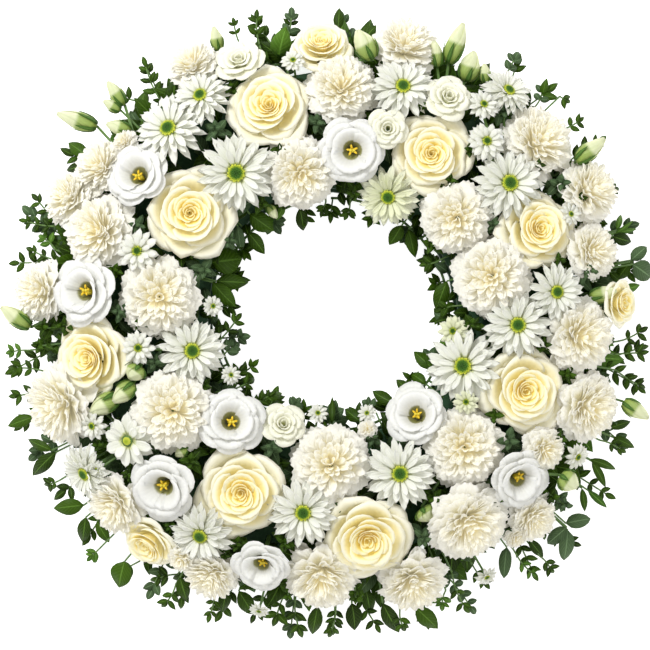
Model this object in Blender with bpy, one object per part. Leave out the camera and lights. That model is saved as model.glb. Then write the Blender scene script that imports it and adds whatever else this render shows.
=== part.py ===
"""Funeral wreath, lying flat: a foam ring in a shallow tray, set with roses, lisianthus, carnations and
daisy chrysanthemums on stems, with a collar of leafy twigs round its outer edge and round its hole.

The origin is the middle of the bounding box seen from above, at the underside, and +Z points up out of
the flowers' faces. Lengths are built round the middle of the hole and moved there at the end.
"""

import math
import random
from collections import namedtuple

import bmesh
import bpy
from mathutils import Matrix, Vector

MM = 0.001

# Plan view. Places are read off the photograph in its pixels, and a pixel is a real length at face level.
PLAN_CENTRE = (333, 314)
PIXEL = 0.83 * MM
VIEW_HEIGHT = 2500 * MM
FACE_LEVEL = 85 * MM

# Foam ring and tray, sections measured from the middle of the ring
RING_RADIUS = 157 * MM
RING_SEGMENTS = 20
TRAY_FLOOR = 3 * MM
TRAY_WALL = 2 * MM
TRAY_RIM = 14 * MM
FOAM_HALF_WIDTH = 50 * MM
FOAM_TOP_HALF_WIDTH = 30 * MM
FOAM_SHOULDER = 34 * MM
FOAM_TOP = 52 * MM
FIT_GAP = 0.4 * MM

# Cushion of faces over the foam: height and lean of a face by its distance from the middle of the hole
CREST_HEIGHT = 95 * MM
OUTER_REACH = 93 * MM
OUTER_DROP = 35 * MM
OUTER_LEAN = math.radians(50)
INNER_REACH = 57 * MM
INNER_DROP = 15 * MM
INNER_LEAN = math.radians(-20)
LEAF_LAYER_TOP = 36 * MM

# Heads crowd together, so each is a little fuller than the width that shows, up to its neighbours
FULLNESS = 1.08

STEM_RADIUS = 2.2 * MM
STEM_SIDES = 4
STEM_SHOWING = 3.2 * MM
STEM_IN_FOAM = 22 * MM
TWIG_RADIUS = 1.3 * MM
PEG_DEPTH = 13 * MM

# One ring of points of a bloom: how many, reach and height as shares of the bloom's radius, and for a rim
# the points that each petal has, how far its notch draws in and how far it drops
Ring = namedtuple("Ring", "points reach height per_petal notch drop", defaults=(1, 0, 0))

ROSE = (
    Ring(5, 0.17, -1.02),
    Ring(10, 0.56, -0.86),
    Ring(15, 1.00, -0.38, 3, 0.12, 0.12),
    Ring(10, 0.72, -0.52),
    Ring(15, 0.82, -0.10, 3, 0.12, 0.14),
    Ring(9, 0.51, -0.30),
    Ring(12, 0.58, 0.06, 3, 0.14, 0.16),
    Ring(6, 0.30, -0.12),
    Ring(9, 0.33, 0.14, 3, 0.18, 0.12),
)
CARNATION = (
    Ring(5, 0.17, -1.20),
    Ring(5, 0.24, -0.66),
    Ring(16, 1.00, -0.36, 2, 0.13, 0.12),
    Ring(8, 0.66, -0.44),
    Ring(14, 0.84, -0.06, 2, 0.16, 0.14),
    Ring(6, 0.48, -0.16),
    Ring(12, 0.62, 0.16, 2, 0.20, 0.14),
    Ring(5, 0.26, 0.02),
    Ring(8, 0.34, 0.30, 2, 0.26, 0.12),
)
SIDE_CARNATION = (
    Ring(5, 0.17, -1.15),
    Ring(5, 0.26, -0.66),
    Ring(14, 1.00, -0.34, 2, 0.13, 0.12),
    Ring(7, 0.60, -0.40),
    Ring(12, 0.74, 0.00, 2, 0.18, 0.14),
    Ring(5, 0.34, -0.10),
    Ring(8, 0.42, 0.22, 2, 0.24, 0.12),
)
LISIANTHUS = (
    Ring(5, 0.13, -0.98),
    Ring(8, 0.46, -0.80),
    Ring(12, 1.00, -0.28, 2, 0.14, 0.08),
    Ring(8, 0.64, -0.40),
    Ring(12, 0.74, -0.02, 2, 0.18, 0.10),
    Ring(7, 0.27, -0.34),
    Ring(5, 0.16, -0.62),
)
# Petal tips of a daisy head stand by turns high and low, so that they read as two layers
DAISY_HUB = (0.26, -0.04)
DAISY_EYE = (0.21, 0.08)
DAISY_VALLEY = (0.66, -0.14)
DAISY_HIGH_TIP = (1.04, -0.02)
DAISY_LOW_TIP = (0.98, -0.22)
DAISY_BACK = (0.13, -0.40)
BUD = (Ring(5, 0.30, -1.00), Ring(6, 0.95, -0.35), Ring(6, 0.62, 0.45))

# How deep each kind's sphere lies behind its face, as a share of its radius, and how far it stands proud
Kind = namedtuple("Kind", "depth lift")
KINDS = {
    "rose": Kind(0.35, 0 * MM),
    "carnation": Kind(0.30, -1 * MM),
    "side_carnation": Kind(0.30, 0 * MM),
    "lisianthus": Kind(0.35, 3 * MM),
    "daisy": Kind(0.08, -2 * MM),
    "small_daisy": Kind(0.08, 0 * MM),
    "bud": Kind(0.0, 0 * MM),
}
DAISY_PETALS = {"daisy": 13, "small_daisy": 8}

# A head is a bloom's kind, where its face shows in the plan, and its width. A bud runs from base to tip.
Head = namedtuple("Head", "kind at across")
Bud = namedtuple("Bud", "base tip across height")

FLOWERS = {
    "rose_01": [Head("rose", (268, 102), 71)],
    "rose_02": [Head("rose", (190, 213), 77)],
    "rose_03": [Head("rose", (432, 153), 70)],
    "rose_04": [Head("rose", (543, 228), 68)],
    "rose_05": [Head("rose", (83, 359), 73)],
    "rose_06": [Head("rose", (240, 495), 78)],
    "rose_07": [Head("rose", (368, 544), 78)],
    "rose_08": [Head("rose", (528, 392), 75)],
    "rose_09": [Head("rose", (322, 38), 54), Bud((372, 58), (357, 31), 17, 74)],
    "rose_10": [Head("rose", (143, 549), 54)],
    "rose_11": [Head("rose", (627, 303), 42), Bud((590, 298), (616, 290), 13, 62)],
    "lisianthus_01": [
        Head("lisianthus", (135, 173), 55),
        Bud((96, 126), (58, 114), 14, 50),
        Bud((124, 104), (108, 82), 11, 52),
        Bud((130, 131), (107, 124), 12, 62),
    ],
    "lisianthus_02": [Head("lisianthus", (352, 151), 56), Head("lisianthus", (388, 128), 35)],
    "lisianthus_03": [
        Head("lisianthus", (80, 291), 58),
        Head("side_carnation", (31, 291), 52),
        Bud((30, 326), (2, 307), 14, 48),
    ],
    "lisianthus_04": [Head("lisianthus", (232, 420), 55), Head("lisianthus", (284, 423), 37)],
    "lisianthus_05": [Head("lisianthus", (160, 490), 58), Head("side_carnation", (110, 511), 54)],
    "lisianthus_06": [Head("lisianthus", (260, 569), 48)],
    "lisianthus_07": [Head("lisianthus", (415, 413), 52)],
    "lisianthus_08": [
        Head("lisianthus", (522, 482), 52),
        Head("side_carnation", (548, 452), 37),
        Head("small_daisy", (578, 457), 24),
        Head("side_carnation", (538, 523), 44),
        Bud((561, 476), (577, 487), 17, 74),
    ],
    "lisianthus_09": [
        Head("lisianthus", (450, 95), 42),
        Bud((449, 62), (463, 24), 15, 58),
        Bud((437, 66), (434, 41), 11, 62),
        Bud((466, 80), (474, 52), 17, 58),
    ],
    "lisianthus_10": [Head("lisianthus", (238, 57), 44), Bud((219, 50), (214, 27), 10, 50)],
    "carnation_01": [
        Head("carnation", (92, 229), 63),
        Head("side_carnation", (62, 194), 50),
        Head("side_carnation", (95, 163), 50),
    ],
    "carnation_02": [Head("carnation", (160, 297), 66), Head("small_daisy", (137, 251), 36)],
    "carnation_03": [Head("carnation", (172, 411), 68)],
    "carnation_04": [Head("carnation", (301, 176), 60)],
    "carnation_05": [Head("carnation", (342, 83), 60)],
    "carnation_06": [Head("carnation", (455, 219), 61), Head("carnation", (490, 277), 66)],
    "carnation_07": [Head("carnation", (331, 461), 66)],
    "carnation_08": [
        Head("carnation", (465, 448), 65),
        Head("carnation", (472, 529), 66),
        Bud((423, 508), (431, 520), 18, 78),
    ],
    "carnation_09": [Head("carnation", (322, 584), 63)],
    "carnation_10": [Head("carnation", (587, 336), 62), Head("side_carnation", (596, 410), 60)],
    "carnation_11": [
        Head("carnation", (546, 136), 64),
        Head("side_carnation", (598, 187), 56),
        Head("side_carnation", (599, 249), 48),
    ],
    "carnation_12": [Head("side_carnation", (416, 591), 58)],
    "daisy_01": [
        Head("daisy", (168, 128), 60),
        Head("daisy", (200, 95), 50),
        Head("side_carnation", (189, 58), 46),
    ],
    "daisy_02": [Head("daisy", (236, 173), 65)],
    "daisy_03": [Head("daisy", (403, 86), 54), Head("side_carnation", (407, 37), 56)],
    "daisy_04": [Head("daisy", (388, 197), 52)],
    "daisy_05": [
        Head("daisy", (510, 183), 60),
        Head("small_daisy", (487, 141), 34),
        Head("small_daisy", (484, 104), 28),
        Head("daisy", (509, 90), 44),
    ],
    "daisy_06": [Head("daisy", (518, 325), 56), Head("daisy", (557, 292), 48)],
    "daisy_07": [Head("daisy", (463, 366), 63), Head("small_daisy", (466, 402), 22)],
    "daisy_08": [Head("daisy", (400, 474), 59)],
    "daisy_09": [Head("daisy", (303, 513), 57)],
    "daisy_10": [Head("daisy", (200, 536), 55), Head("side_carnation", (208, 582), 48)],
    "daisy_11": [
        Head("daisy", (192, 351), 57),
        Head("small_daisy", (138, 348), 29),
    ],
    "daisy_12": [
        Head("small_daisy", (127, 441), 44),
        Head("small_daisy", (92, 426), 26),
        Head("side_carnation", (50, 408), 68),
    ],
    "daisy_13": [Head("daisy", (84, 474), 48)],
    "lisianthus_buds": [
        Bud((139, 366), (130, 379), 17, 84),
        Bud((133, 384), (114, 402), 15, 80),
        Bud((117, 396), (91, 413), 17, 72),
    ],
}

# Leafy twigs of the outer collar: tip in the plan, pairs of leaves below the tip, and length of a leaf
Sprig = namedtuple("Sprig", "tip pairs leaf")
OUTER_SPRIGS = (
    Sprig((250, 14), 2, 15),
    Sprig((292, 10), 1, 16),
    Sprig((338, 8), 1, 18),
    Sprig((520, 52), 1, 22),
    Sprig((560, 84), 1, 22),
    Sprig((608, 134), 1, 17),
    Sprig((640, 222), 1, 16),
    Sprig((647, 270), 1, 22),
    Sprig((650, 345), 1, 16),
    Sprig((648, 392), 1, 16),
    Sprig((630, 448), 1, 18),
    Sprig((616, 500), 2, 18),
    Sprig((582, 548), 1, 16),
    Sprig((538, 582), 1, 16),
    Sprig((478, 614), 1, 15),
    Sprig((430, 630), 1, 18),
    Sprig((380, 634), 1, 15),
    Sprig((335, 636), 1, 15),
    Sprig((290, 640), 1, 16),
    Sprig((250, 624), 1, 16),
    Sprig((214, 622), 1, 20),
    Sprig((178, 610), 1, 20),
    Sprig((148, 600), 1, 17),
    Sprig((114, 578), 1, 22),
    Sprig((82, 546), 1, 20),
    Sprig((54, 502), 1, 24),
    Sprig((28, 462), 1, 18),
    Sprig((12, 428), 1, 18),
    Sprig((4, 374), 2, 20),
    Sprig((8, 262), 1, 17),
    Sprig((20, 208), 1, 18),
    Sprig((60, 148), 1, 22),
    Sprig((112, 92), 1, 22),
    Sprig((144, 60), 2, 13),
)
# Leaves that hang into the hole: tip in the plan, pairs below it, length of a leaf
INNER_SPRIGS = (
    Sprig((330, 222), 1, 15),
    Sprig((305, 226), 0, 15),
    Sprig((278, 232), 0, 18),
    Sprig((252, 256), 1, 17),
    Sprig((246, 284), 0, 20),
    Sprig((241, 306), 1, 16),
    Sprig((250, 336), 0, 15),
    Sprig((260, 362), 1, 15),
    Sprig((280, 386), 0, 19),
    Sprig((304, 400), 0, 17),
    Sprig((334, 402), 0, 24),
    Sprig((360, 402), 0, 19),
    Sprig((384, 392), 0, 19),
    Sprig((404, 374), 1, 15),
    Sprig((422, 350), 0, 17),
    Sprig((430, 318), 0, 15),
    Sprig((429, 288), 0, 19),
    Sprig((420, 262), 0, 18),
    Sprig((400, 240), 0, 15),
    Sprig((368, 226), 0, 17),
)
OUTER_SECTORS = 5
INNER_SECTORS = 6
OUTER_RUNNER = 218 * MM
INNER_RUNNER = 99 * MM
RUNNER_HEIGHT = 22 * MM
LEAF_THICKNESS = 1.6 * MM
HOLE_CLEAR_RADIUS = 78 * MM
SECTOR_GAP = math.radians(0.5)

# Colour, roughness
PAINTS = {
    "rose": ((0.90, 0.81, 0.56), 0.55),
    "lisianthus": ((0.88, 0.88, 0.83), 0.60),
    "carnation": ((0.87, 0.82, 0.68), 0.65),
    "daisy": ((0.87, 0.90, 0.82), 0.60),
    "greenery": ((0.05, 0.14, 0.05), 0.50),
    "inner": ((0.10, 0.20, 0.14), 0.55),
    "foam": ((0.05, 0.16, 0.07), 0.95),
    "tray": ((0.03, 0.10, 0.05), 0.45),
}


def clear_scene():
    for leftover in list(bpy.data.objects):
        bpy.data.objects.remove(leftover, do_unlink=True)


def painted(name, paint):
    colour, roughness = PAINTS[paint]
    material = bpy.data.materials.new(name)
    material.use_nodes = True
    shader = material.node_tree.nodes["Principled BSDF"]
    shader.inputs["Base Color"].default_value = (*colour, 1.0)
    shader.inputs["Roughness"].default_value = roughness
    shader.inputs["Metallic"].default_value = 0.0
    material.diffuse_color = (*colour, 1.0)
    return material


def new_object(name, bm, paint=None):
    """An object from a bmesh with its faces turned outward, in its own material."""
    bmesh.ops.recalc_face_normals(bm, faces=bm.faces)
    mesh = bpy.data.meshes.new(name)
    bm.to_mesh(mesh)
    bm.free()
    piece = bpy.data.objects.new(name, mesh)
    bpy.context.scene.collection.objects.link(piece)
    if paint:
        mesh.materials.append(painted(name, paint))
    return piece


def plan(at, height):
    """Place of a point seen in the plan at a height: from above, what lies lower looks smaller."""
    scale = PIXEL * (VIEW_HEIGHT - height) / (VIEW_HEIGHT - FACE_LEVEL)
    return Vector(((at[0] - PLAN_CENTRE[0]) * scale, (PLAN_CENTRE[1] - at[1]) * scale, height))


def polar(radius, angle, height):
    return Vector((radius * math.cos(angle), radius * math.sin(angle), height))


def cushion(reach):
    """Height and lean of a face at a distance from the middle of the hole."""
    outside = reach > RING_RADIUS
    share = abs(reach - RING_RADIUS) / (OUTER_REACH if outside else INNER_REACH)
    drop = OUTER_DROP if outside else INNER_DROP
    lean = OUTER_LEAN if outside else INNER_LEAN
    return CREST_HEIGHT - drop * share * share, lean * min(share, 1.15)


def foam_surface(reach):
    """Height of the foam, or of the leaves beside it, under a point at a distance from the hole's middle."""
    out = abs(reach - RING_RADIUS)
    if out > FOAM_HALF_WIDTH:
        return LEAF_LAYER_TOP + 2 * MM
    slope = max(0, out - FOAM_TOP_HALF_WIDTH) / (FOAM_HALF_WIDTH - FOAM_TOP_HALF_WIDTH)
    return FOAM_TOP - slope * (FOAM_TOP - FOAM_SHOULDER)


def zip_rings(bm, lower, upper):
    """Triangles between two rings of (angle, vertex), whatever the number of points in each."""
    i = j = 0
    count_i, count_j = len(lower), len(upper)
    while i < count_i or j < count_j:
        next_i = lower[(i + 1) % count_i][0] + (math.tau if i + 1 >= count_i else 0)
        next_j = upper[(j + 1) % count_j][0] + (math.tau if j + 1 >= count_j else 0)
        if j >= count_j or (i < count_i and next_i <= next_j):
            bm.faces.new((lower[i % count_i][1], lower[(i + 1) % count_i][1], upper[j % count_j][1]))
            i += 1
        else:
            bm.faces.new((lower[i % count_i][1], upper[(j + 1) % count_j][1], upper[j % count_j][1]))
            j += 1


def close_end(bm, ring):
    """A flat cap of one polygon over a ring."""
    bm.faces.new([vertex for _, vertex in ring])


def point_cap(bm, ring, apex):
    """A cone of triangles from a ring up to one point."""
    top = bm.verts.new(apex)
    for k, (_, vertex) in enumerate(ring):
        bm.faces.new((vertex, ring[(k + 1) % len(ring)][1], top))


def stem_ring(bm, place, turn, radius, sides=STEM_SIDES):
    ring = []
    for k in range(sides):
        angle = math.tau * k / sides
        offset = Vector((radius * math.cos(angle), radius * math.sin(angle), 0))
        ring.append((angle, bm.verts.new(place + turn @ offset)))
    return ring


class Bloom:
    """One head or bud: its face, its axis, and the ball that its share of the cushion is worked out from."""

    def __init__(self, node, item, spin, branch=False):
        self.node = node
        self.spin = spin
        if isinstance(item, Bud):
            self.kind = "bud"
            self.radius = item.across * MM / 2
            base = plan(item.base, item.height * MM)
            tip = plan(item.tip, item.height * MM)
            tip.z += 0.25 * (tip - base).length
            self.axis = (tip - base).normalized()
            self.half_length = (tip - base).length / 2
            self.centre = (base + tip) / 2
            self.foot = base
        else:
            self.kind = item.kind
            self.radius = FULLNESS * item.across * MM / 2
            lift = KINDS[self.kind].lift
            flat = plan(item.at, FACE_LEVEL)
            height, lean = cushion(flat.to_2d().length)
            face = plan(item.at, height + lift)
            foot = face + Vector((0, 0, math.cos(lean))) * self.radius * foot_height(self.kind)
            foot_reach = flat.to_2d().length + math.sin(lean) * self.radius * foot_height(self.kind)
            below = foam_surface(foot_reach)
            if branch and foot_reach < RING_RADIUS + FOAM_HALF_WIDTH - 8 * MM:
                below = FOAM_TOP + 1 * MM
            face.z += max(0, below + STEM_SHOWING - foot.z)
            outward = face.to_2d().to_3d().normalized()
            self.axis = outward * math.sin(lean) + Vector((0, 0, math.cos(lean)))
            self.face = face
            self.centre = face - self.axis * KINDS[self.kind].depth * self.radius
            self.foot = face + self.axis * self.radius * foot_height(self.kind)
        self.turn = Vector((0, 0, 1)).rotation_difference(self.axis).to_matrix()
        self.walls = []

    def local(self, point):
        """Place in the wreath of a point given in shares of the bloom's radius from its face."""
        return self.face + self.turn @ (Vector(point) * self.radius)

    def room(self, direction):
        """Distance from the ball's centre to the nearest wall in a direction."""
        nearest = math.inf
        for normal, offset in self.walls:
            along = normal.dot(direction)
            if along > 1e-6:
                nearest = min(nearest, (offset - normal.dot(self.centre)) / along)
        return nearest


def foot_height(kind):
    """Height of a head's underside against its face, in shares of its radius."""
    profiles = {"rose": ROSE, "carnation": CARNATION, "side_carnation": SIDE_CARNATION,
                "lisianthus": LISIANTHUS}
    if kind in profiles:
        return profiles[kind][0].height
    return DAISY_BACK[1]


def share_out(blooms):
    """Gives each bloom the walls of its own share: one midway to each neighbour, and one over the leaves."""
    half_gap = 0.2 * MM
    for i, one in enumerate(blooms):
        for other in blooms[i + 1:]:
            gap = other.centre - one.centre
            distance = gap.length
            if distance > 130 * MM:
                continue
            along = (distance * distance + one.radius ** 2 - other.radius ** 2) / (2 * distance)
            along = min(max(along, 0.30 * distance), 0.70 * distance)
            normal = gap / distance
            offset = normal.dot(one.centre) + along
            one.walls.append((normal, offset - half_gap))
            other.walls.append((-normal, -offset - half_gap))
    for one in blooms:
        down = Vector((0, 0, -1))
        one.walls.append((down, -(LEAF_LAYER_TOP + half_gap * 2)))
        reach = one.centre.to_2d().length
        if reach < RING_RADIUS + FOAM_HALF_WIDTH - 12 * MM or one.centre.z > FOAM_TOP + 14 * MM:
            one.walls.append((down, -(FOAM_TOP + half_gap * 2)))


def bent_clear(bloom, points):
    """Draws points in toward the bloom's centre, so that none passes a wall of its share."""
    reach = max((point - bloom.centre).length for point in points)
    moved = []
    for point in points:
        arm = point - bloom.centre
        length = arm.length
        full = length if bloom.kind == "bud" else reach
        share = min(1.0, bloom.room(arm / length) / full) if length > 1e-9 else 1.0
        moved.append(bloom.centre + arm * share)
    return moved


def turned_rings(bloom, profile):
    """Rings of (angle, place) of a head's petals, from its underside up to its middle."""
    rings = []
    for level, ring in enumerate(profile):
        turn = bloom.spin + level * 0.37 if ring.per_petal > 1 else 0.0
        turn %= math.tau / ring.points
        row = []
        for k in range(ring.points):
            angle = turn + math.tau * k / ring.points
            notched = ring.per_petal > 1 and k % ring.per_petal == 0
            reach = ring.reach * (1 - ring.notch if notched else 1)
            height = ring.height - (ring.drop if notched else 0)
            place = bloom.local((reach * math.cos(angle), reach * math.sin(angle), height))
            row.append((angle, place))
        rings.append(row)
    return rings


def solid_head(bm, bloom, profile, first_ring, apex_height):
    """Petals of a head on top of a ring that is already there, closed by a point in the middle."""
    rings = turned_rings(bloom, profile)
    apex = bloom.local((0, 0, apex_height))
    flat = [place for row in rings for _, place in row] + [apex]
    moved = bent_clear(bloom, flat)
    previous = first_ring
    start = 0
    for row in rings:
        made = [(angle, bm.verts.new(moved[start + k])) for k, (angle, _) in enumerate(row)]
        start += len(row)
        zip_rings(bm, previous, made)
        previous = made
    point_cap(bm, previous, moved[-1])


def daisy_head(bm, bloom, first_ring):
    """Two layers of pointed petals round a domed eye, as one star with its underside drawn to the stem."""
    petals = DAISY_PETALS[bloom.kind]
    points = petals * 2
    outline, back, hub, eye = [], [], [], []
    for k in range(points):
        angle = math.tau * k / points
        if k % 2:
            reach, height = DAISY_VALLEY
        else:
            reach, height = DAISY_HIGH_TIP if k % 4 == 0 else DAISY_LOW_TIP
        outline.append((angle, (reach, height)))
    for k in range(6):
        angle = math.tau * k / 6
        hub.append((angle, DAISY_HUB))
        eye.append((angle, DAISY_EYE))
    for k in range(5):
        back.append((math.tau * k / 5, DAISY_BACK))
    rows = (back, outline, hub, eye)
    flat = []
    for row in rows:
        for angle, (reach, height) in row:
            turned = angle + bloom.spin
            flat.append(bloom.local((reach * math.cos(turned), reach * math.sin(turned), height)))
    flat.append(bloom.local((0, 0, DAISY_EYE[1] + 0.10)))
    moved = bent_clear(bloom, flat)
    previous = first_ring
    start = 0
    for row in rows:
        made = [(angle, bm.verts.new(moved[start + k])) for k, (angle, _) in enumerate(row)]
        start += len(row)
        zip_rings(bm, previous, made)
        previous = made
    point_cap(bm, previous, moved[-1])


def bud_head(bm, bloom, first_ring):
    """A closed bud, widest below its middle and drawn to a point."""
    rows = []
    for ring in BUD:
        row = []
        for k in range(ring.points):
            angle = math.tau * k / ring.points
            side = Vector((math.cos(angle), math.sin(angle), 0)) * ring.reach * bloom.radius
            place = bloom.centre + bloom.turn @ side + bloom.axis * ring.height * bloom.half_length
            row.append((angle, place))
        rows.append(row)
    tip = bloom.centre + bloom.axis * bloom.half_length
    moved = bent_clear(bloom, [place for row in rows for _, place in row] + [tip])
    previous = first_ring
    start = 0
    for row in rows:
        made = [(angle, bm.verts.new(moved[start + k])) for k, (angle, _) in enumerate(row)]
        start += len(row)
        zip_rings(bm, previous, made)
        previous = made
    point_cap(bm, previous, moved[-1])


def grow(bm, bloom, end, radius, sides=STEM_SIDES):
    """One stem from its end up to the bloom's foot, and the bloom on it, as one closed skin."""
    neck = bloom.foot - bloom.axis * 1.5 * MM
    run = (neck - end).normalized()
    along = Vector((0, 0, 1)).rotation_difference(run).to_matrix()
    lower = stem_ring(bm, end, along, radius, sides)
    upper = stem_ring(bm, neck, bloom.turn, radius, sides)
    close_end(bm, lower)
    zip_rings(bm, lower, upper)
    if bloom.kind == "rose":
        solid_head(bm, bloom, ROSE, upper, 0.20)
    elif bloom.kind == "carnation":
        solid_head(bm, bloom, CARNATION, upper, 0.16)
    elif bloom.kind == "side_carnation":
        solid_head(bm, bloom, SIDE_CARNATION, upper, 0.10)
    elif bloom.kind == "lisianthus":
        solid_head(bm, bloom, LISIANTHUS, upper, -0.46)
    elif bloom.kind == "bud":
        bud_head(bm, bloom, upper)
    else:
        daisy_head(bm, bloom, upper)


def stem_end(bloom, turned):
    """Where a main stem ends in the foam, aimed from the bloom's foot at the foam's core."""
    reach = bloom.foot.to_2d().length
    angle = math.atan2(bloom.foot.y, bloom.foot.x) + turned
    if reach > RING_RADIUS + FOAM_HALF_WIDTH - 8 * MM:
        entry = polar(RING_RADIUS + FOAM_HALF_WIDTH - 9 * MM, angle, FOAM_SHOULDER + 6 * MM)
        return entry + (entry - bloom.foot).normalized() * STEM_IN_FOAM
    inner = RING_RADIUS - FOAM_HALF_WIDTH + 20 * MM
    outer = RING_RADIUS + FOAM_HALF_WIDTH - 20 * MM
    return polar(min(max(reach, inner), outer), angle, FOAM_TOP - STEM_IN_FOAM)


def clear_end(bloom, stems):
    """The stem's end, turned a little round the ring where another stem would be in its way."""
    neck = bloom.foot - bloom.axis * 1.5 * MM
    best = None
    for turned in (0, 0.04, -0.04, 0.08, -0.08):
        end = stem_end(bloom, turned)
        path = [neck.lerp(end, k / 12) for k in range(13)]
        space = min(((p - q).length for other in stems for p in path for q in other), default=1.0)
        if best is None or space > best[0] + 0.1 * MM:
            best = (space, end, path)
        if space > 3 * STEM_RADIUS:
            break
    stems.append(best[2])
    return best[1]


def joined(name, parts, paint):
    """One object from closed pieces that run into each other, by a Boolean union."""
    base = parts[0]
    base.name = name
    base.data.name = name
    base.data.materials.clear()
    base.data.materials.append(painted(name, paint))
    if len(parts) > 1:
        helpers = bpy.data.collections.new(name + "_pieces")
        bpy.context.scene.collection.children.link(helpers)
        for part in parts[1:]:
            bpy.context.scene.collection.objects.unlink(part)
            helpers.objects.link(part)
        union = base.modifiers.new("union", "BOOLEAN")
        union.operation = "UNION"
        union.operand_type = "COLLECTION"
        union.collection = helpers
        union.solver = "MANIFOLD"
        apply_modifiers(base)
        for part in parts[1:]:
            bpy.data.objects.remove(part, do_unlink=True)
        bpy.data.collections.remove(helpers)
        keep_largest(base)
    return base


def apply_modifiers(piece):
    view = bpy.context.evaluated_depsgraph_get()
    view.update()
    mesh = bpy.data.meshes.new_from_object(piece.evaluated_get(view), depsgraph=view)
    piece.modifiers.clear()
    piece.data = mesh


def keep_largest(piece):
    """Drops any loose scrap that a union left beside the body."""
    bm = bmesh.new()
    bm.from_mesh(piece.data)
    bm.verts.ensure_lookup_table()
    unseen = set(bm.verts)
    islands = []
    while unseen:
        island = set()
        queue = [unseen.pop()]
        while queue:
            vertex = queue.pop()
            island.add(vertex)
            for edge in vertex.link_edges:
                other = edge.other_vert(vertex)
                if other in unseen:
                    unseen.discard(other)
                    queue.append(other)
        islands.append(island)
    islands.sort(key=len, reverse=True)
    scraps = [vertex for island in islands[1:] for vertex in island]
    bmesh.ops.delete(bm, geom=scraps, context="VERTS")
    bmesh.ops.dissolve_limit(bm, angle_limit=math.radians(0.2), verts=bm.verts, edges=bm.edges)
    bmesh.ops.triangulate(bm, faces=bm.faces)
    bm.to_mesh(piece.data)
    bm.free()


def flower_kind(node):
    if node.startswith("rose"):
        return "rose"
    return node.split("_")[0]


def flowers(cutters):
    """Every flower stem with its heads and buds, and a cutter for each stem's hole in the foam."""
    chooser = random.Random(7)
    blooms = {}
    for node, items in FLOWERS.items():
        blooms[node] = []
        for k, item in enumerate(items):
            blooms[node].append(Bloom(node, item, chooser.uniform(0, math.tau), k > 0))
    share_out([bloom for row in blooms.values() for bloom in row])
    stems = []
    for node, row in blooms.items():
        main = row[0]
        end = clear_end(main, stems)
        pieces = []
        bm = bmesh.new()
        grow(bm, main, end, STEM_RADIUS)
        pieces.append(new_object(node, bm))
        fork = main.foot - main.axis * 1.0 * MM
        for side in row[1:]:
            bm = bmesh.new()
            grow(bm, side, fork, 0.8 * STEM_RADIUS, 3)
            pieces.append(new_object(node + "_side", bm))
        joined(node, pieces, flower_kind(node))
        cutters.append(hole_cutter(main.foot - main.axis * 1.5 * MM, end))


def hole_cutter(top, end):
    """A straight peg a little fatter and longer than the stem, to cut its hole in the foam."""
    run = (top - end).normalized()
    along = Vector((0, 0, 1)).rotation_difference(run).to_matrix()
    bm = bmesh.new()
    lower = stem_ring(bm, end - run * FIT_GAP * 2, along, STEM_RADIUS + 2 * FIT_GAP)
    upper = stem_ring(bm, top, along, STEM_RADIUS + 2 * FIT_GAP)
    close_end(bm, lower)
    zip_rings(bm, lower, upper)
    close_end(bm, upper)
    return new_object("hole_cutter", bm)


def turned_ring(name, profile, paint):
    """A ring turned from a section of (distance from the section's middle, height)."""
    bm = bmesh.new()
    rows = []
    for k in range(RING_SEGMENTS):
        angle = math.tau * k / RING_SEGMENTS
        rows.append([bm.verts.new(polar(RING_RADIUS + out, angle, up)) for out, up in profile])
    for k, row in enumerate(rows):
        following = rows[(k + 1) % RING_SEGMENTS]
        for n in range(len(row)):
            m = (n + 1) % len(row)
            bm.faces.new((row[n], row[m], following[m], following[n]))
    return new_object(name, bm, paint)


def tray():
    inside = FOAM_HALF_WIDTH + FIT_GAP
    outside = inside + TRAY_WALL
    profile = (
        (outside, 0),
        (outside, TRAY_RIM),
        (inside, TRAY_RIM),
        (inside, TRAY_FLOOR),
        (-inside, TRAY_FLOOR),
        (-inside, TRAY_RIM),
        (-outside, TRAY_RIM),
        (-outside, 0),
    )
    return turned_ring("tray", profile, "tray")


def foam_ring(cutters):
    """The foam, with a plain hole for each stem and for each peg of the leafy twigs."""
    half = FOAM_HALF_WIDTH
    profile = (
        (half, TRAY_FLOOR + FIT_GAP),
        (half, FOAM_SHOULDER),
        (FOAM_TOP_HALF_WIDTH, FOAM_TOP),
        (-FOAM_TOP_HALF_WIDTH, FOAM_TOP),
        (-half, FOAM_SHOULDER),
        (-half, TRAY_FLOOR + FIT_GAP),
    )
    foam = turned_ring("foam_ring", profile, "foam")
    helpers = bpy.data.collections.new("hole_cutters")
    bpy.context.scene.collection.children.link(helpers)
    for cutter in cutters:
        bpy.context.scene.collection.objects.unlink(cutter)
        helpers.objects.link(cutter)
        cutter.hide_render = True
        cutter.display_type = "WIRE"
    holes = foam.modifiers.new("holes", "BOOLEAN")
    holes.operation = "DIFFERENCE"
    holes.operand_type = "COLLECTION"
    holes.collection = helpers
    holes.solver = "MANIFOLD"
    apply_modifiers(foam)
    for cutter in cutters:
        bpy.data.objects.remove(cutter, do_unlink=True)
    bpy.data.collections.remove(helpers)
    return foam


def twig(points, radius, sides=4):
    """A thin stem along points, as one closed tube."""
    bm = bmesh.new()
    previous = None
    for k, point in enumerate(points):
        ahead = points[min(k + 1, len(points) - 1)]
        behind = points[max(k - 1, 0)]
        run = (ahead - behind).normalized()
        side = run.cross(Vector((0, 0, 1)))
        side = side.normalized() if side.length > 1e-6 else Vector((1, 0, 0))
        turn = Matrix((side, side.cross(run), run)).transposed()
        ring = stem_ring(bm, point, turn, radius, sides)
        if previous:
            zip_rings(bm, previous, ring)
        else:
            close_end(bm, ring)
        previous = ring
    close_end(bm, previous)
    return new_object("twig", bm)


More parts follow.
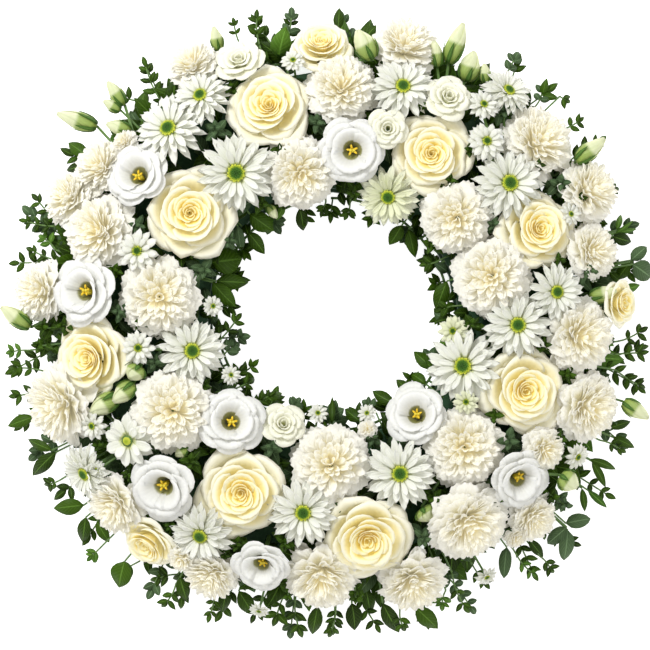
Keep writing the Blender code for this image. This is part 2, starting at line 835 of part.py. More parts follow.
def blade(bm, root, base, tip, side, up, clamp):
    """A pointed leaf grown from a ring of four points: to its widest place, then to its tip."""
    middle = base.lerp(tip, 0.45)
    thick = up * LEAF_THICKNESS / 2
    widest = [
        bm.verts.new(clamp(middle + thick, 0)),
        bm.verts.new(clamp(middle + side, 0)),
        bm.verts.new(clamp(middle - thick, 1)),
        bm.verts.new(clamp(middle - side, 1)),
    ]
    end = bm.verts.new(clamp(tip, 1))
    for k in range(4):
        m = (k + 1) % 4
        bm.faces.new((root[k], root[m], widest[k]))
        bm.faces.new((root[m], widest[m], widest[k]))
        bm.faces.new((widest[k], widest[m], end))


def leafy_twig(root, tip, pairs, length, clamp):
    """A square twig with leaves in pairs along it and one leaf at its end, as one skin."""
    run = tip - root
    reach = run.length
    ahead = run / reach
    side = ahead.cross(Vector((0, 0, 1))).normalized()
    up = side.cross(ahead).normalized()
    bare = max(reach - length, reach * 0.25)
    thick = 0.8 * TWIG_RADIUS
    stops = [0.0]
    for pair in range(pairs):
        place = bare * (0.45 + 0.5 * pair / max(pairs - 1, 1)) if pairs > 1 else bare * 0.6
        stops += [max(place - 3 * MM, stops[-1] + 1 * MM), max(place, stops[-1] + 3 * MM)]
    if not pairs:
        stops.append(bare)
    bm = bmesh.new()
    rings = []
    for stop in stops:
        place = root + ahead * stop
        corners = ((-1, 1), (1, 1), (1, -1), (-1, -1))
        rings.append([bm.verts.new(place + side * thick * x + up * thick * y) for x, y in corners])
    bm.faces.new(rings[0])
    for k, (low, high) in enumerate(zip(rings, rings[1:])):
        leafy = pairs and k % 2 == 1
        for n in range(4):
            m = (n + 1) % 4
            if not (leafy and n in (1, 3)):
                bm.faces.new((low[n], low[m], high[m], high[n]))
        if leafy:
            place = root + ahead * (stops[k] + stops[k + 1]) / 2
            for n, way in ((1, 1), (3, -1)):
                grown = (ahead * 0.8 + side * way).normalized()
                across = grown.cross(up).normalized() * length * 0.27 * -way
                square = (low[1], high[1], high[2], low[2]) if n == 1 else (low[0], high[0], high[3], low[3])
                rise = Vector((0, 0, 6 * MM * way))
                blade(bm, square, place, place + grown * length * 0.9 + rise, across, up, clamp)
    last = rings[-1]
    blade(bm, last, root + ahead * stops[-1], tip, side * length * 0.31, up, clamp)
    return new_object("leafy_twig", bm)


def sector_clamp(first, last, low, high, floor, ceiling):
    """Keeps a point between two angles, two distances from the middle and two heights."""
    middle = (first + last) / 2

    def clamp(point, under):
        angle = math.atan2(point.y, point.x)
        while angle < middle - math.pi:
            angle += math.tau
        while angle > middle + math.pi:
            angle -= math.tau
        reach = min(max(point.to_2d().length, low), high)
        angle = min(max(angle, first), last)
        shift = 0 if under else LEAF_THICKNESS
        height = min(max(point.z, floor + shift), ceiling - LEAF_THICKNESS + shift)
        return polar(reach, angle, height)

    return clamp


def collar(name, sprigs, first, last, runner_reach, outward, paint, cutters):
    """A runner twig along part of the ring with side twigs and leaves, pegged into the foam's side."""
    if outward:
        low, high = RING_RADIUS + FOAM_HALF_WIDTH + TRAY_WALL + 1.2 * MM, 1.0
        floor, ceiling = 2 * MM, LEAF_LAYER_TOP
    else:
        low, high = HOLE_CLEAR_RADIUS, RING_RADIUS - FOAM_HALF_WIDTH - TRAY_WALL - 2.6 * MM
        floor, ceiling = 4 * MM, 46 * MM
    clamp = sector_clamp(first + SECTOR_GAP, last - SECTOR_GAP, low, high, floor, ceiling)
    steps = max(4, int((last - first) / math.radians(16)))
    span = last - first - 2 * SECTOR_GAP - math.radians(3)
    start = (first + last - span) / 2
    arc = [polar(runner_reach, start + span * k / steps, RUNNER_HEIGHT) for k in range(steps + 1)]
    pieces = [twig(arc, TWIG_RADIUS)]
    wall = RING_RADIUS + (FOAM_HALF_WIDTH if outward else -FOAM_HALF_WIDTH)
    inward = -PEG_DEPTH if outward else PEG_DEPTH
    for k in (1, steps - 1):
        angle = start + span * k / steps
        peg_end = polar(wall + inward, angle, RUNNER_HEIGHT)
        peg_start = polar(runner_reach, angle, RUNNER_HEIGHT)
        pieces.append(twig([peg_end, peg_start], TWIG_RADIUS))
        cutters.append(peg_cutter(peg_start, peg_end, wall))
    for number, sprig in enumerate(sprigs):
        pieces.append(side_sprig(sprig, number, clamp, runner_reach, outward, arc))
    return joined(name, pieces, paint)


def peg_cutter(start, end, wall):
    """A straight peg a little fatter and longer than a twig's own, to cut its hole in the foam."""
    run = (end - start).normalized()
    return twig([start, end + run * FIT_GAP * 2], TWIG_RADIUS + 2 * FIT_GAP)


def side_sprig(sprig, number, clamp, runner_reach, outward, arc):
    """One twig from the runner out to its tip, with pairs of leaves along it and one at its end."""
    tip_height = (21 if outward else 36) * MM + 9 * MM * math.sin(number * 2.1)
    tip = clamp(plan(sprig.tip, tip_height), 1)
    root = min(arc, key=lambda point: (point.to_2d() - tip.to_2d()).length)
    angle = math.atan2(tip.y, tip.x)
    low, high = (math.atan2(arc[0].y, arc[0].x), math.atan2(arc[-1].y, arc[-1].x))
    root_here = polar(runner_reach, angle, root.z)
    sprung = (root_here - root).length < 30 * MM and inside_arc(angle, low, high)
    if sprung:
        root = on_arc(arc, angle)
    return leafy_twig(root, tip, sprig.pairs, 1.25 * sprig.leaf * MM, clamp)


def inside_arc(angle, low, high):
    return (angle - low) % math.tau <= (high - low) % math.tau


def on_arc(arc, angle):
    """Where a ray from the middle at an angle meets the runner."""
    ray = Vector((math.cos(angle), math.sin(angle)))
    met = None
    for a, b in zip(arc, arc[1:]):
        along = b - a
        cross = ray.x * along.y - ray.y * along.x
        if abs(cross) < 1e-12:
            continue
        t = -(ray.x * a.y - ray.y * a.x) / cross
        if -1e-6 <= t <= 1 + 1e-6:
            point = a + along * t
            if met is None or point.to_2d().dot(ray) > 0:
                met = point
    return met if met is not None else arc[0]


def collars(name, sprigs, sectors, first, runner_reach, outward, paint, cutters):
    """A collar in equal sectors, each a body of its own with the twigs whose tips lie in it."""
    width = math.tau / sectors
    for sector in range(sectors):
        low = math.radians(first) + sector * width
        inside = []
        for sprig in sprigs:
            tip = plan(sprig.tip, RUNNER_HEIGHT)
            if (math.atan2(tip.y, tip.x) - low) % math.tau < width:
                inside.append(sprig)
        label = "%s_%02d" % (name, sector + 1)
        collar(label, inside, low, low + width, runner_reach, outward, paint, cutters)


def greenery(cutters):
    collars("greenery_outer", OUTER_SPRIGS, OUTER_SECTORS, 54, OUTER_RUNNER, True, "greenery", cutters)
    collars("greenery_inner", INNER_SPRIGS, INNER_SECTORS, 93, INNER_RUNNER, False, "inner", cutters)


def centre_origin():
    """Moves every piece so that the middle of the bounding box lies over the origin, at the underside."""
    pieces = [piece for piece in bpy.data.objects if piece.type == "MESH"]
    corners = [vertex.co for piece in pieces for vertex in piece.data.vertices]
    middle = Vector((
        (min(c.x for c in corners) + max(c.x for c in corners)) / 2,
        (min(c.y for c in corners) + max(c.y for c in corners)) / 2,
        min(c.z for c in corners),
    ))
    wreath = bpy.data.objects.new("wreath", None)
    bpy.context.scene.collection.objects.link(wreath)
    for piece in pieces:
        piece.parent = wreath
    wreath.location = -middle


def main():
    clear_scene()
    cutters = []
    tray()
    flowers(cutters)
    greenery(cutters)
    foam_ring(cutters)
    centre_origin()


main()
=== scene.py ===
"""Looks of a funeral wreath: petals, leaves, stems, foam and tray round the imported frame, and its stage."""

import math
import random
from collections import namedtuple

import bmesh
import bpy
from bpy.props import FloatProperty, FloatVectorProperty, PointerProperty
from mathutils import Matrix, Vector


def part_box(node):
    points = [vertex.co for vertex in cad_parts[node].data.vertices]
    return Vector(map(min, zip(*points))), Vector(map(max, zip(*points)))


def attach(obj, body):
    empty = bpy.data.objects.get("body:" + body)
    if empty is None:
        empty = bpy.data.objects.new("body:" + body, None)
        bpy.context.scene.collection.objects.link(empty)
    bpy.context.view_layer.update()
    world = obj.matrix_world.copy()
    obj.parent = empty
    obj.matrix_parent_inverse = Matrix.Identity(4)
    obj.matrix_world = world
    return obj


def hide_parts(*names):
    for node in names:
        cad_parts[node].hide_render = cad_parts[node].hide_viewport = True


bl_info = {
    "name": "Funeral Wreath",
    "version": (1, 0, 0),
    "blender": (4, 5, 0),
    "location": "View3D > Sidebar > Wreath",
    "description": "Builds the petals, leaves and stage of a funeral wreath of white and cream flowers",
    "category": "Object",
}

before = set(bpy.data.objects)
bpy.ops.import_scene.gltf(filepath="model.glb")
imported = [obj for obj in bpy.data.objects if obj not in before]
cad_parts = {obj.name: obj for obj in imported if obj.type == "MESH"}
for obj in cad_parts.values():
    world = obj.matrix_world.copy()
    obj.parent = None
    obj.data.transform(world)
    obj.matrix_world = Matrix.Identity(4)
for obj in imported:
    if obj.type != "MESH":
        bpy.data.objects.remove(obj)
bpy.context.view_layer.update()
MM = 0.001
UP = Vector((0, 0, 1))

# Plan view: places are read off the photograph in its pixels, about the middle of the ring
PLAN_CENTRE = (333, 314)
PICTURE_CENTRE = (325, 325)
PICTURE_WIDTH = 650
# What a pixel spans at the level of the faces, seen from the view's height
PIXEL = 0.83 * MM
VIEW_HEIGHT = 2500 * MM
FACE_LEVEL = 85 * MM

RING_RADIUS = 157 * MM
FOAM_HALF_WIDTH = 50 * MM
FOAM_TOP_HALF_WIDTH = 30 * MM
FOAM_SHOULDER = 34 * MM
FOAM_TOP = 52 * MM
# The faces of the heads lie on a cushion that drops and leans from its crest to both its edges
CREST_HEIGHT = 95 * MM
OUTER_REACH = 93 * MM
OUTER_DROP = 35 * MM
OUTER_LEAN = math.radians(50)
INNER_REACH = 57 * MM
INNER_DROP = 15 * MM
INNER_LEAN = math.radians(-20)
# Heads past the cushion's edge lean at most this many times as far as those on it
MOST_LEAN = 1.15
# Height up to which leaves lie beside the foam
LEAF_LAYER_TOP = 36 * MM
# Shortest length of stem between the foam and a head's foot
STEM_SHOWING = 3.2 * MM
STEM_RADIUS = 2.2 * MM
# Past this reach a stem goes into the foam's flank
FLANK_REACH = RING_RADIUS + FOAM_HALF_WIDTH - 8 * MM
# The other stems go into the foam's top, at least this far from its edges
EDGE_MARGIN = 20 * MM
# How deep their ends stand in the flank and in the top
FLANK_DEPTH = 16 * MM
TOP_DEPTH = 12 * MM
# Straight ends of a stem under a head's foot and inside the head, in millimetres
NECK, ROOTED = 1.5, 2
# Radii and height of the rods that carry the leafy twigs
OUTER_RUNNER = 218 * MM
INNER_RUNNER = 99 * MM
RUNNER_HEIGHT = 22 * MM
RUNNER_RADIUS, PEG_RADIUS, TWIG_RADIUS, LEAF_STEM_RADIUS = 1.3 * MM, 1.2 * MM, 0.75 * MM, 0.8 * MM

# Turn from one petal or floret to the next where they grow in a spiral
GOLDEN_ANGLE = 2.39996

FOAM_LOW, FOAM_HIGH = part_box("foam_ring")
RING_MIDDLE = Vector(((FOAM_LOW.x + FOAM_HIGH.x) / 2, (FOAM_LOW.y + FOAM_HIGH.y) / 2, 0))

Head = namedtuple("Head", "kind at across look", defaults=("",))
Bud = namedtuple("Bud", "base tip across height")

# Heads and buds of each node: kind, place and width, or places of a bud's base and tip, width and height
# in millimetres. A node's first head stands on its main stem.
FLOWERS = {
    "rose_01": [Head("rose", (268, 102), 71)],
    "rose_02": [Head("rose", (190, 213), 77)],
    "rose_03": [Head("rose", (432, 153), 70)],
    "rose_04": [Head("rose", (543, 228), 68)],
    "rose_05": [Head("rose", (83, 359), 73)],
    "rose_06": [Head("rose", (240, 495), 78)],
    "rose_07": [Head("rose", (368, 544), 78)],
    "rose_08": [Head("rose", (528, 392), 75)],
    "rose_09": [Head("rose", (322, 38), 54), Bud((372, 58), (357, 31), 17, 74)],
    "rose_10": [Head("rose", (143, 549), 54)],
    "rose_11": [Head("rose", (627, 303), 42), Bud((590, 298), (616, 290), 13, 62)],
    "lisianthus_01": [
        Head("lisianthus", (135, 173), 55), Bud((96, 126), (58, 114), 14, 50),
        Bud((124, 104), (108, 82), 11, 52), Bud((130, 131), (107, 124), 12, 62),
    ],
    "lisianthus_02": [Head("lisianthus", (352, 151), 56), Head("lisianthus", (388, 128), 35)],
    "lisianthus_03": [
        Head("lisianthus", (80, 291), 58), Head("side_carnation", (31, 291), 52),
        Bud((30, 326), (2, 307), 14, 48),
    ],
    "lisianthus_04": [Head("lisianthus", (232, 420), 55), Head("lisianthus", (284, 423), 37)],
    "lisianthus_05": [Head("lisianthus", (160, 490), 58), Head("side_carnation", (110, 511), 54)],
    "lisianthus_06": [Head("lisianthus", (260, 569), 48)],
    "lisianthus_07": [Head("lisianthus", (415, 413), 52)],
    "lisianthus_08": [
        Head("lisianthus", (522, 482), 52), Head("side_carnation", (548, 452), 37),
        Head("small_daisy", (578, 457), 24), Head("side_carnation", (538, 523), 44),
        Bud((561, 476), (577, 487), 17, 74),
    ],
    "lisianthus_09": [
        Head("lisianthus", (450, 95), 42), Bud((449, 62), (463, 24), 15, 58),
        Bud((437, 66), (434, 41), 11, 62), Bud((466, 80), (474, 52), 17, 58),
    ],
    "lisianthus_10": [Head("lisianthus", (238, 57), 44), Bud((219, 50), (214, 27), 10, 50)],
    "carnation_01": [
        Head("carnation", (92, 229), 63), Head("side_carnation", (62, 194), 50),
        Head("side_carnation", (95, 163), 50),
    ],
    "carnation_02": [Head("carnation", (160, 297), 66), Head("small_daisy", (137, 251), 36)],
    "carnation_03": [Head("carnation", (172, 411), 68)],
    "carnation_04": [Head("carnation", (301, 176), 60)],
    "carnation_05": [Head("carnation", (342, 83), 60)],
    "carnation_06": [Head("carnation", (455, 219), 61), Head("carnation", (490, 277), 66)],
    "carnation_07": [Head("carnation", (331, 461), 66)],
    "carnation_08": [
        Head("carnation", (465, 448), 65), Head("carnation", (472, 529), 66),
        Bud((423, 508), (431, 520), 18, 78),
    ],
    "carnation_09": [Head("carnation", (322, 584), 63)],
    "carnation_10": [Head("carnation", (587, 336), 62), Head("side_carnation", (596, 410), 60)],
    "carnation_11": [
        Head("carnation", (546, 136), 64), Head("side_carnation", (598, 187), 56),
        Head("side_carnation", (599, 249), 48),
    ],
    "carnation_12": [Head("side_carnation", (416, 591), 58)],
    "daisy_01": [
        Head("daisy", (168, 128), 60), Head("daisy", (200, 95), 50), Head("side_carnation", (189, 58), 46),
    ],
    "daisy_02": [Head("daisy", (236, 173), 65)],
    "daisy_03": [Head("daisy", (403, 86), 54), Head("side_carnation", (407, 37), 56)],
    "daisy_04": [Head("daisy", (388, 197), 52, "green")],
    "daisy_05": [
        Head("daisy", (510, 183), 60), Head("small_daisy", (487, 141), 34),
        Head("small_daisy", (484, 104), 28), Head("daisy", (509, 90), 44),
    ],
    "daisy_06": [Head("daisy", (518, 325), 56), Head("daisy", (557, 292), 48)],
    "daisy_07": [Head("daisy", (463, 366), 63), Head("small_daisy", (466, 402), 22, "green")],
    "daisy_08": [Head("daisy", (400, 474), 59)],
    "daisy_09": [Head("daisy", (303, 513), 57)],
    "daisy_10": [Head("daisy", (200, 536), 55), Head("side_carnation", (208, 582), 48)],
    "daisy_11": [Head("daisy", (192, 351), 57), Head("small_daisy", (138, 348), 29)],
    "daisy_12": [
        Head("small_daisy", (127, 441), 44, "broad"), Head("small_daisy", (92, 426), 26),
        Head("side_carnation", (50, 408), 68),
    ],
    "daisy_13": [Head("daisy", (84, 474), 48)],
    "lisianthus_buds": [
        Bud((139, 366), (130, 379), 17, 84), Bud((133, 384), (114, 402), 15, 80),
        Bud((117, 396), (91, 413), 17, 72),
    ],
}

# Leafy twigs that reach past the heads: place of the tip and length of a leaf
OUTER_SPRIGS = (
    ((250, 14), 15), ((292, 10), 16), ((338, 8), 18), ((520, 52), 22), ((560, 84), 22), ((608, 134), 17),
    ((640, 222), 16), ((647, 270), 22), ((650, 345), 16), ((648, 392), 16), ((630, 448), 18),
    ((616, 500), 18), ((582, 548), 16), ((538, 582), 16), ((478, 614), 15), ((430, 630), 18),
    ((380, 634), 15), ((335, 636), 15), ((290, 640), 16), ((250, 624), 16), ((214, 622), 20),
    ((178, 610), 20), ((148, 600), 17), ((114, 578), 22), ((82, 546), 20), ((54, 502), 24), ((28, 462), 18),
    ((12, 428), 18), ((4, 374), 20), ((8, 262), 17), ((20, 208), 18), ((60, 148), 22), ((112, 92), 22),
    ((144, 60), 13),
)
INNER_SPRIGS = (
    ((330, 222), 15), ((305, 226), 15), ((278, 232), 18), ((252, 256), 17), ((246, 284), 20),
    ((241, 306), 16), ((250, 336), 15), ((260, 362), 15), ((280, 386), 19), ((304, 400), 17),
    ((334, 402), 24), ((360, 402), 19), ((384, 392), 19), ((404, 374), 15), ((422, 350), 17),
    ((430, 318), 15), ((429, 288), 19), ((420, 262), 18), ((400, 240), 15), ((368, 226), 17),
)
OUTER_SECTORS, OUTER_SECTOR_START = 5, math.radians(54)
INNER_SECTORS, INNER_SECTOR_START = 6, math.radians(93)

# Small flowers and buds between the large ones
FILLERS = {
    "filler_blooms_01": [
        Head("small_daisy", (293, 60), 21), Bud((486, 82), (484, 64), 9, 58),
        Bud((577, 161), (604, 139), 14, 58), Head("small_daisy", (453, 331), 27, "green"),
        Head("small_daisy", (571, 214), 20),
    ],
    "filler_blooms_02": [
        Head("small_daisy", (213, 306), 18), Head("small_daisy", (231, 375), 17),
        Bud((268, 206), (277, 218), 8, 66), Bud((120, 110), (104, 101), 9, 54),
        Head("side_carnation", (122, 140), 22),
    ],
    "filler_blooms_03": [
        Head("small_daisy", (259, 611), 17), Bud((186, 449), (176, 456), 9, 82),
        Head("small_daisy", (97, 470), 18), Head("small_daisy", (318, 413), 18),
        Head("side_carnation", (180, 562), 26),
    ],
    "filler_blooms_04": [
        Bud((624, 402), (648, 418), 13, 48), Head("small_daisy", (367, 413), 17),
        Head("side_carnation", (367, 428), 16), Head("small_daisy", (487, 577), 20),
        Head("side_carnation", (518, 540), 20),
    ],
}

# Leaves and leafy sprays that show, as read off the photograph: root, tip, width or leaf length in its
# pixels, and kind of leaf (D dark, G grey-green, F fresh green)
LARGE_LEAVES = (
    ((140, 118), (143, 91), 13, "D"), ((88, 157), (70, 141), 13, "D"), ((86, 165), (66, 169), 9, "D"),
    ((34, 417), (8, 424), 12, "D"), ((56, 452), (31, 474), 14, "D"), ((52, 450), (28, 440), 10, "D"),
    ((84, 505), (54, 507), 16, "D"), ((86, 517), (83, 542), 13, "D"), ((97, 521), (109, 542), 11, "D"),
    ((125, 561), (117, 586), 21, "D"), ((180, 577), (187, 600), 13, "D"), ((227, 587), (223, 613), 12, "D"),
    ((239, 591), (254, 613), 15, "D"), ((352, 603), (357, 629), 16, "D"), ((366, 589), (372, 613), 13, "D"),
    ((383, 603), (397, 633), 15, "D"), ((416, 607), (438, 628), 17, "D"), ((318, 606), (312, 634), 14, "D"),
    ((507, 547), (502, 577), 12, "G"), ((529, 539), (543, 557), 10, "D"), ((566, 523), (590, 517), 14, "G"),
    ((567, 527), (547, 543), 14, "G"), ((568, 530), (565, 560), 15, "G"), ((590, 459), (617, 467), 8, "D"),
    ((592, 461), (607, 486), 8, "D"), ((582, 488), (586, 511), 7, "D"), ((588, 490), (607, 507), 7, "F"),
    ((613, 437), (635, 446), 9, "D"), ((610, 428), (630, 420), 9, "D"), ((633, 264), (651, 277), 20, "G"),
    ((631, 260), (646, 246), 12, "G"), ((630, 262), (617, 279), 12, "D"), ((613, 236), (631, 243), 12, "D"),
    ((614, 234), (635, 222), 4, "F"), ((616, 232), (637, 230), 5, "F"), ((617, 230), (621, 214), 6, "F"),
    ((338, 30), (340, 8), 10, "D"), ((622, 290), (640, 286), 9, "F"), ((212, 262), (242, 259), 27, "D"),
    ((216, 281), (248, 282), 15, "D"), ((213, 282), (233, 308), 16, "D"), ((248, 232), (266, 252), 13, "D"),
    ((250, 214), (273, 231), 18, "D"), ((238, 226), (241, 250), 10, "G"), ((219, 340), (219, 318), 6, "D"),
    ((402, 225), (391, 245), 13, "D"), ((409, 229), (414, 257), 12, "D"), ((447, 281), (436, 309), 15, "D"),
    ((433, 369), (415, 351), 13, "D"), ((411, 393), (397, 379), 10, "D"), ((394, 403), (372, 393), 12, "D"),
    ((360, 421), (345, 409), 12, "D"), ((332, 424), (333, 397), 6, "D"), ((300, 208), (305, 230), 12, "D"),
    ((426, 384), (412, 372), 11, "D"), ((455, 316), (436, 322), 10, "D"), ((266, 400), (282, 392), 9, "D"),
    ((186, 448), (206, 456), 12, "D"), ((176, 462), (190, 472), 12, "D"), ((160, 368), (150, 356), 10, "G"),
    ((590, 268), (607, 256), 15, "D"), ((580, 276), (579, 254), 11, "G"), ((582, 277), (598, 283), 9, "D"),
    ((580, 278), (592, 291), 8, "G"), ((556, 184), (574, 190), 14, "D"), ((548, 182), (551, 168), 7, "G"),
)
SPRAYS = (
    ((166, 108), (141, 56), 14, "D"), ((68, 228), (30, 193), 14, "D"), ((64, 226), (18, 220), 12, "D"),
    ((70, 262), (24, 248), 13, "D"), ((56, 250), (38, 232), 12, "F"), ((48, 372), (6, 366), 15, "D"),
    ((48, 388), (8, 398), 14, "D"), ((30, 350), (4, 352), 12, "F"), ((178, 574), (148, 580), 14, "D"),
    ((176, 584), (163, 610), 13, "D"), ((215, 586), (209, 624), 13, "D"), ((286, 592), (272, 628), 17, "D"),
    ((296, 596), (300, 640), 16, "D"), ((452, 572), (468, 616), 14, "D"), ((446, 590), (440, 612), 13, "F"),
    ((514, 550), (538, 580), 12, "F"), ((612, 342), (650, 328), 14, "D"), ((614, 354), (650, 352), 13, "D"),
    ((616, 370), (647, 390), 13, "D"), ((534, 108), (546, 84), 12, "G"), ((504, 80), (519, 50), 14, "G"),
    ((262, 52), (255, 8), 13, "D"), ((284, 50), (294, 6), 13, "G"), ((240, 44), (232, 16), 10, "D"),
    ((218, 342), (243, 312), 14, "D"), ((222, 358), (240, 340), 13, "G"), ((226, 392), (246, 362), 14, "D"),
    ((216, 392), (258, 380), 15, "D"), ((250, 404), (278, 392), 12, "D"), ((436, 262), (418, 266), 12, "D"),
    ((452, 306), (434, 312), 12, "D"), ((350, 204), (346, 222), 11, "D"), ((326, 202), (320, 218), 11, "D"),
    ((290, 410), (302, 396), 11, "G"), ((376, 412), (362, 398), 11, "G"), ((600, 440), (628, 452), 12, "D"),
    ((100, 548), (86, 562), 12, "F"), ((470, 560), (490, 590), 13, "D"), ((336, 604), (330, 640), 13, "D"),
    ((560, 96), (572, 104), 11, "D"), ((590, 190), (622, 188), 12, "D"), ((560, 130), (586, 118), 11, "D"),
    ((60, 480), (44, 486), 12, "D"), ((400, 610), (404, 634), 13, "D"), ((540, 556), (556, 574), 12, "D"),
)
# Rosettes of small leaves that stand between the heads: place, leaf length and kind
TUFTS = (
    ((215, 128), 14, "G"), ((317, 122), 13, "G"), ((135, 225), 12, "G"), ((113, 270), 12, "D"),
    ((118, 312), 12, "G"), ((155, 362), 14, "G"), ((98, 445), 13, "D"), ((190, 462), 14, "D"),
    ((272, 447), 14, "G"), ((372, 437), 13, "G"), ((505, 108), 13, "G"), ((563, 182), 14, "G"),
    ((582, 198), 11, "D"), ((493, 224), 13, "G"), ((590, 270), 15, "G"), ((500, 313), 13, "G"),
    ((545, 345), 13, "D"), ((510, 442), 15, "G"), ((425, 540), 14, "G"), ((205, 270), 15, "G"),
    ((230, 240), 13, "G"), ((150, 152), 12, "D"), ((160, 112), 11, "D"), ((420, 105), 12, "D"),
    ((470, 150), 13, "D"), ((540, 165), 12, "D"), ((375, 120), 12, "D"), ((280, 150), 12, "D"),
    ((262, 205), 12, "D"), ((430, 245), 12, "D"), ((470, 325), 12, "D"), ((140, 320), 12, "D"),
    ((62, 325), 12, "D"), ((205, 385), 12, "D"), ((285, 545), 13, "D"),
    ((340, 505), 12, "D"), ((435, 500), 12, "D"), ((498, 500), 12, "D"), ((560, 440), 13, "D"),
    ((495, 415), 12, "D"), ((570, 375), 12, "D"), ((560, 260), 12, "D"), ((225, 555), 12, "D"),
    ((170, 525), 12, "D"), ((128, 475), 12, "D"), ((450, 180), 12, "D"), ((355, 195), 12, "D"),
    ((43, 328), 15, "D"), ((38, 346), 14, "D"), ((236, 545), 13, "D"), ((229, 86), 12, "D"),
    ((553, 497), 14, "D"), ((566, 506), 13, "G"), ((288, 596), 12, "D"), ((356, 599), 12, "D"),
)

# Materials of the petal and leaf sheets, in the order of their slots
SHEET_FINISHES = (
    "rose_petal", "carnation_petal", "lisianthus_petal", "daisy_petal", "bud_petal",
    "sepal", "dark_leaf", "grey_leaf", "fresh_leaf",
)
ROSE, CARNATION, LISIANTHUS, DAISY, BUD, SEPAL, DARK, GREY, FRESH = range(9)
# Materials of the stems and eyes, in the order of their slots
SOLID_FINISHES = ("stem", "daisy_eye", "anther", "pistil")
STEM, EYE, ANTHER, PISTIL = range(4)


def colour_setting(name, description, default):
    return FloatVectorProperty(
        name=name, description=description, default=default, min=0, max=1, size=3, subtype="COLOR"
    )


def thickness_setting(name, description, default):
    return FloatProperty(
        name=name, description=description, default=default, min=0.1 * MM, max=2 * MM, unit="LENGTH"
    )


class WreathLooks(bpy.types.PropertyGroup):
    """Sizes and colours of the flowers and leaves, and the colour of the floor."""

    petal_thickness: thickness_setting("Petal thickness", "Thickness of a petal", 0.34 * MM)
    leaf_thickness: thickness_setting("Leaf thickness", "Thickness of a leaf", 0.5 * MM)
    fullness: FloatProperty(
        name="Fullness", default=1.035, min=0.8, max=1.3,
        description="Width of a flower head against the width that shows between its neighbours",
    )
    rose_colour: colour_setting("Rose", "Colour of the roses' outer petals", (0.97, 0.95, 0.84))
    # Partly the roses' own yellow heart and partly painted shade, deepened where the petals crowd in the cup.
    rose_heart_and_shade: colour_setting("Rose heart", "Colour deep between the roses' petals", (0.97, 0.76, 0.15))
    carnation_colour: colour_setting("Carnation", "Colour of the carnations' petals", (0.92, 0.91, 0.86))
    lisianthus_colour: colour_setting("Lisianthus", "Colour of the lisianthus petals", (0.885, 0.885, 0.87))
    daisy_colour: colour_setting("Daisy", "Colour of the daisies' petals", (0.93, 0.93, 0.89))
    dark_leaf_colour: colour_setting("Dark leaf", "Colour of the pointed leaves", (0.019, 0.042, 0.002))
    grey_leaf_colour: colour_setting(
        "Grey leaf", "Colour of the grey-green oval leaves", (0.062, 0.105, 0.046)
    )
    floor_colour: colour_setting("Floor", "Colour of the pale floor", (0.96, 0.96, 0.96))


def looks():
    return bpy.context.scene.wreath_looks


# Places
def plan(at, height):
    """Place of a point seen in the plan at a height: from above, what lies lower looks smaller."""
    scale = PIXEL * (VIEW_HEIGHT - height) / (VIEW_HEIGHT - FACE_LEVEL)
    return Vector(((at[0] - PLAN_CENTRE[0]) * scale, (PLAN_CENTRE[1] - at[1]) * scale, height))


def polar(radius, angle, height):
    return Vector((radius * math.cos(angle), radius * math.sin(angle), height))


def tangent(angle):
    """Level way along a circle, square to the way out at an angle."""
    return Vector((-math.sin(angle), math.cos(angle), 0))


def cushion(reach):
    """Height and lean of a face at a distance from the middle of the hole."""
    outside = reach > RING_RADIUS
    share = abs(reach - RING_RADIUS) / (OUTER_REACH if outside else INNER_REACH)
    drop = OUTER_DROP if outside else INNER_DROP
    lean = OUTER_LEAN if outside else INNER_LEAN
    return CREST_HEIGHT - drop * share * share, lean * min(share, MOST_LEAN)


def foam_surface(reach):
    """Height of the foam, or of the leaves beside it, at a distance from the hole's middle."""
    out = abs(reach - RING_RADIUS)
    if out > FOAM_HALF_WIDTH:
        return LEAF_LAYER_TOP + 2 * MM
    slope = max(0, out - FOAM_TOP_HALF_WIDTH) / (FOAM_HALF_WIDTH - FOAM_TOP_HALF_WIDTH)
    return FOAM_TOP - slope * (FOAM_TOP - FOAM_SHOULDER)


# Foot of a head under its face, in its radii, and lift of its face in millimetres
FOOT = {"rose": -1.02, "carnation": -1.20, "side_carnation": -1.15, "lisianthus": -0.98}
DAISY_FOOT = -0.40
LIFT = {"rose": 0, "carnation": -1, "side_carnation": 0, "lisianthus": 3, "daisy": -2, "small_daisy": 0}


class Bloom:
    """Where one head or bud sits: its face or middle, its axis and its foot on the stem."""

    def __init__(self, item, chooser, branch):
        self.spin = chooser.uniform(0, math.tau)
        self.tone = chooser.random()
        if isinstance(item, Bud):
            self.kind = "bud"
            self.radius = item.across * MM / 2
            base = plan(item.base, item.height * MM)
            tip = plan(item.tip, item.height * MM)
            tip.z += 0.25 * (tip - base).length
            self.axis = (tip - base).normalized()
            self.half_length = (tip - base).length / 2
            self.face = (base + tip) / 2
            self.foot = base
        else:
            self.kind = item.kind
            self.look = item.look
            self.radius = looks().fullness * item.across * MM / 2
            flat = plan(item.at, FACE_LEVEL)
            reach = flat.to_2d().length
            height, lean = cushion(reach)
            face = plan(item.at, height + LIFT[self.kind] * MM)
            down = self.radius * FOOT.get(self.kind, DAISY_FOOT)
            foot_reach = reach + math.sin(lean) * down
            below = foam_surface(foot_reach)
            if branch and foot_reach < FLANK_REACH:
                below = FOAM_TOP + 1 * MM
            face.z += max(0, below + STEM_SHOWING - face.z - math.cos(lean) * down)
            outward = face.to_2d().to_3d().normalized()
            self.axis = outward * math.sin(lean) + UP * math.cos(lean)
            self.face = face
            self.foot = face + self.axis * down
        self.turn = UP.rotation_difference(self.axis).to_matrix()

    def place(self, point):
        return self.face + self.turn @ point


# Modelling

# Leaves that would hang lower than this lie flat on what the tray stands on
LOWEST = 0.8 * MM
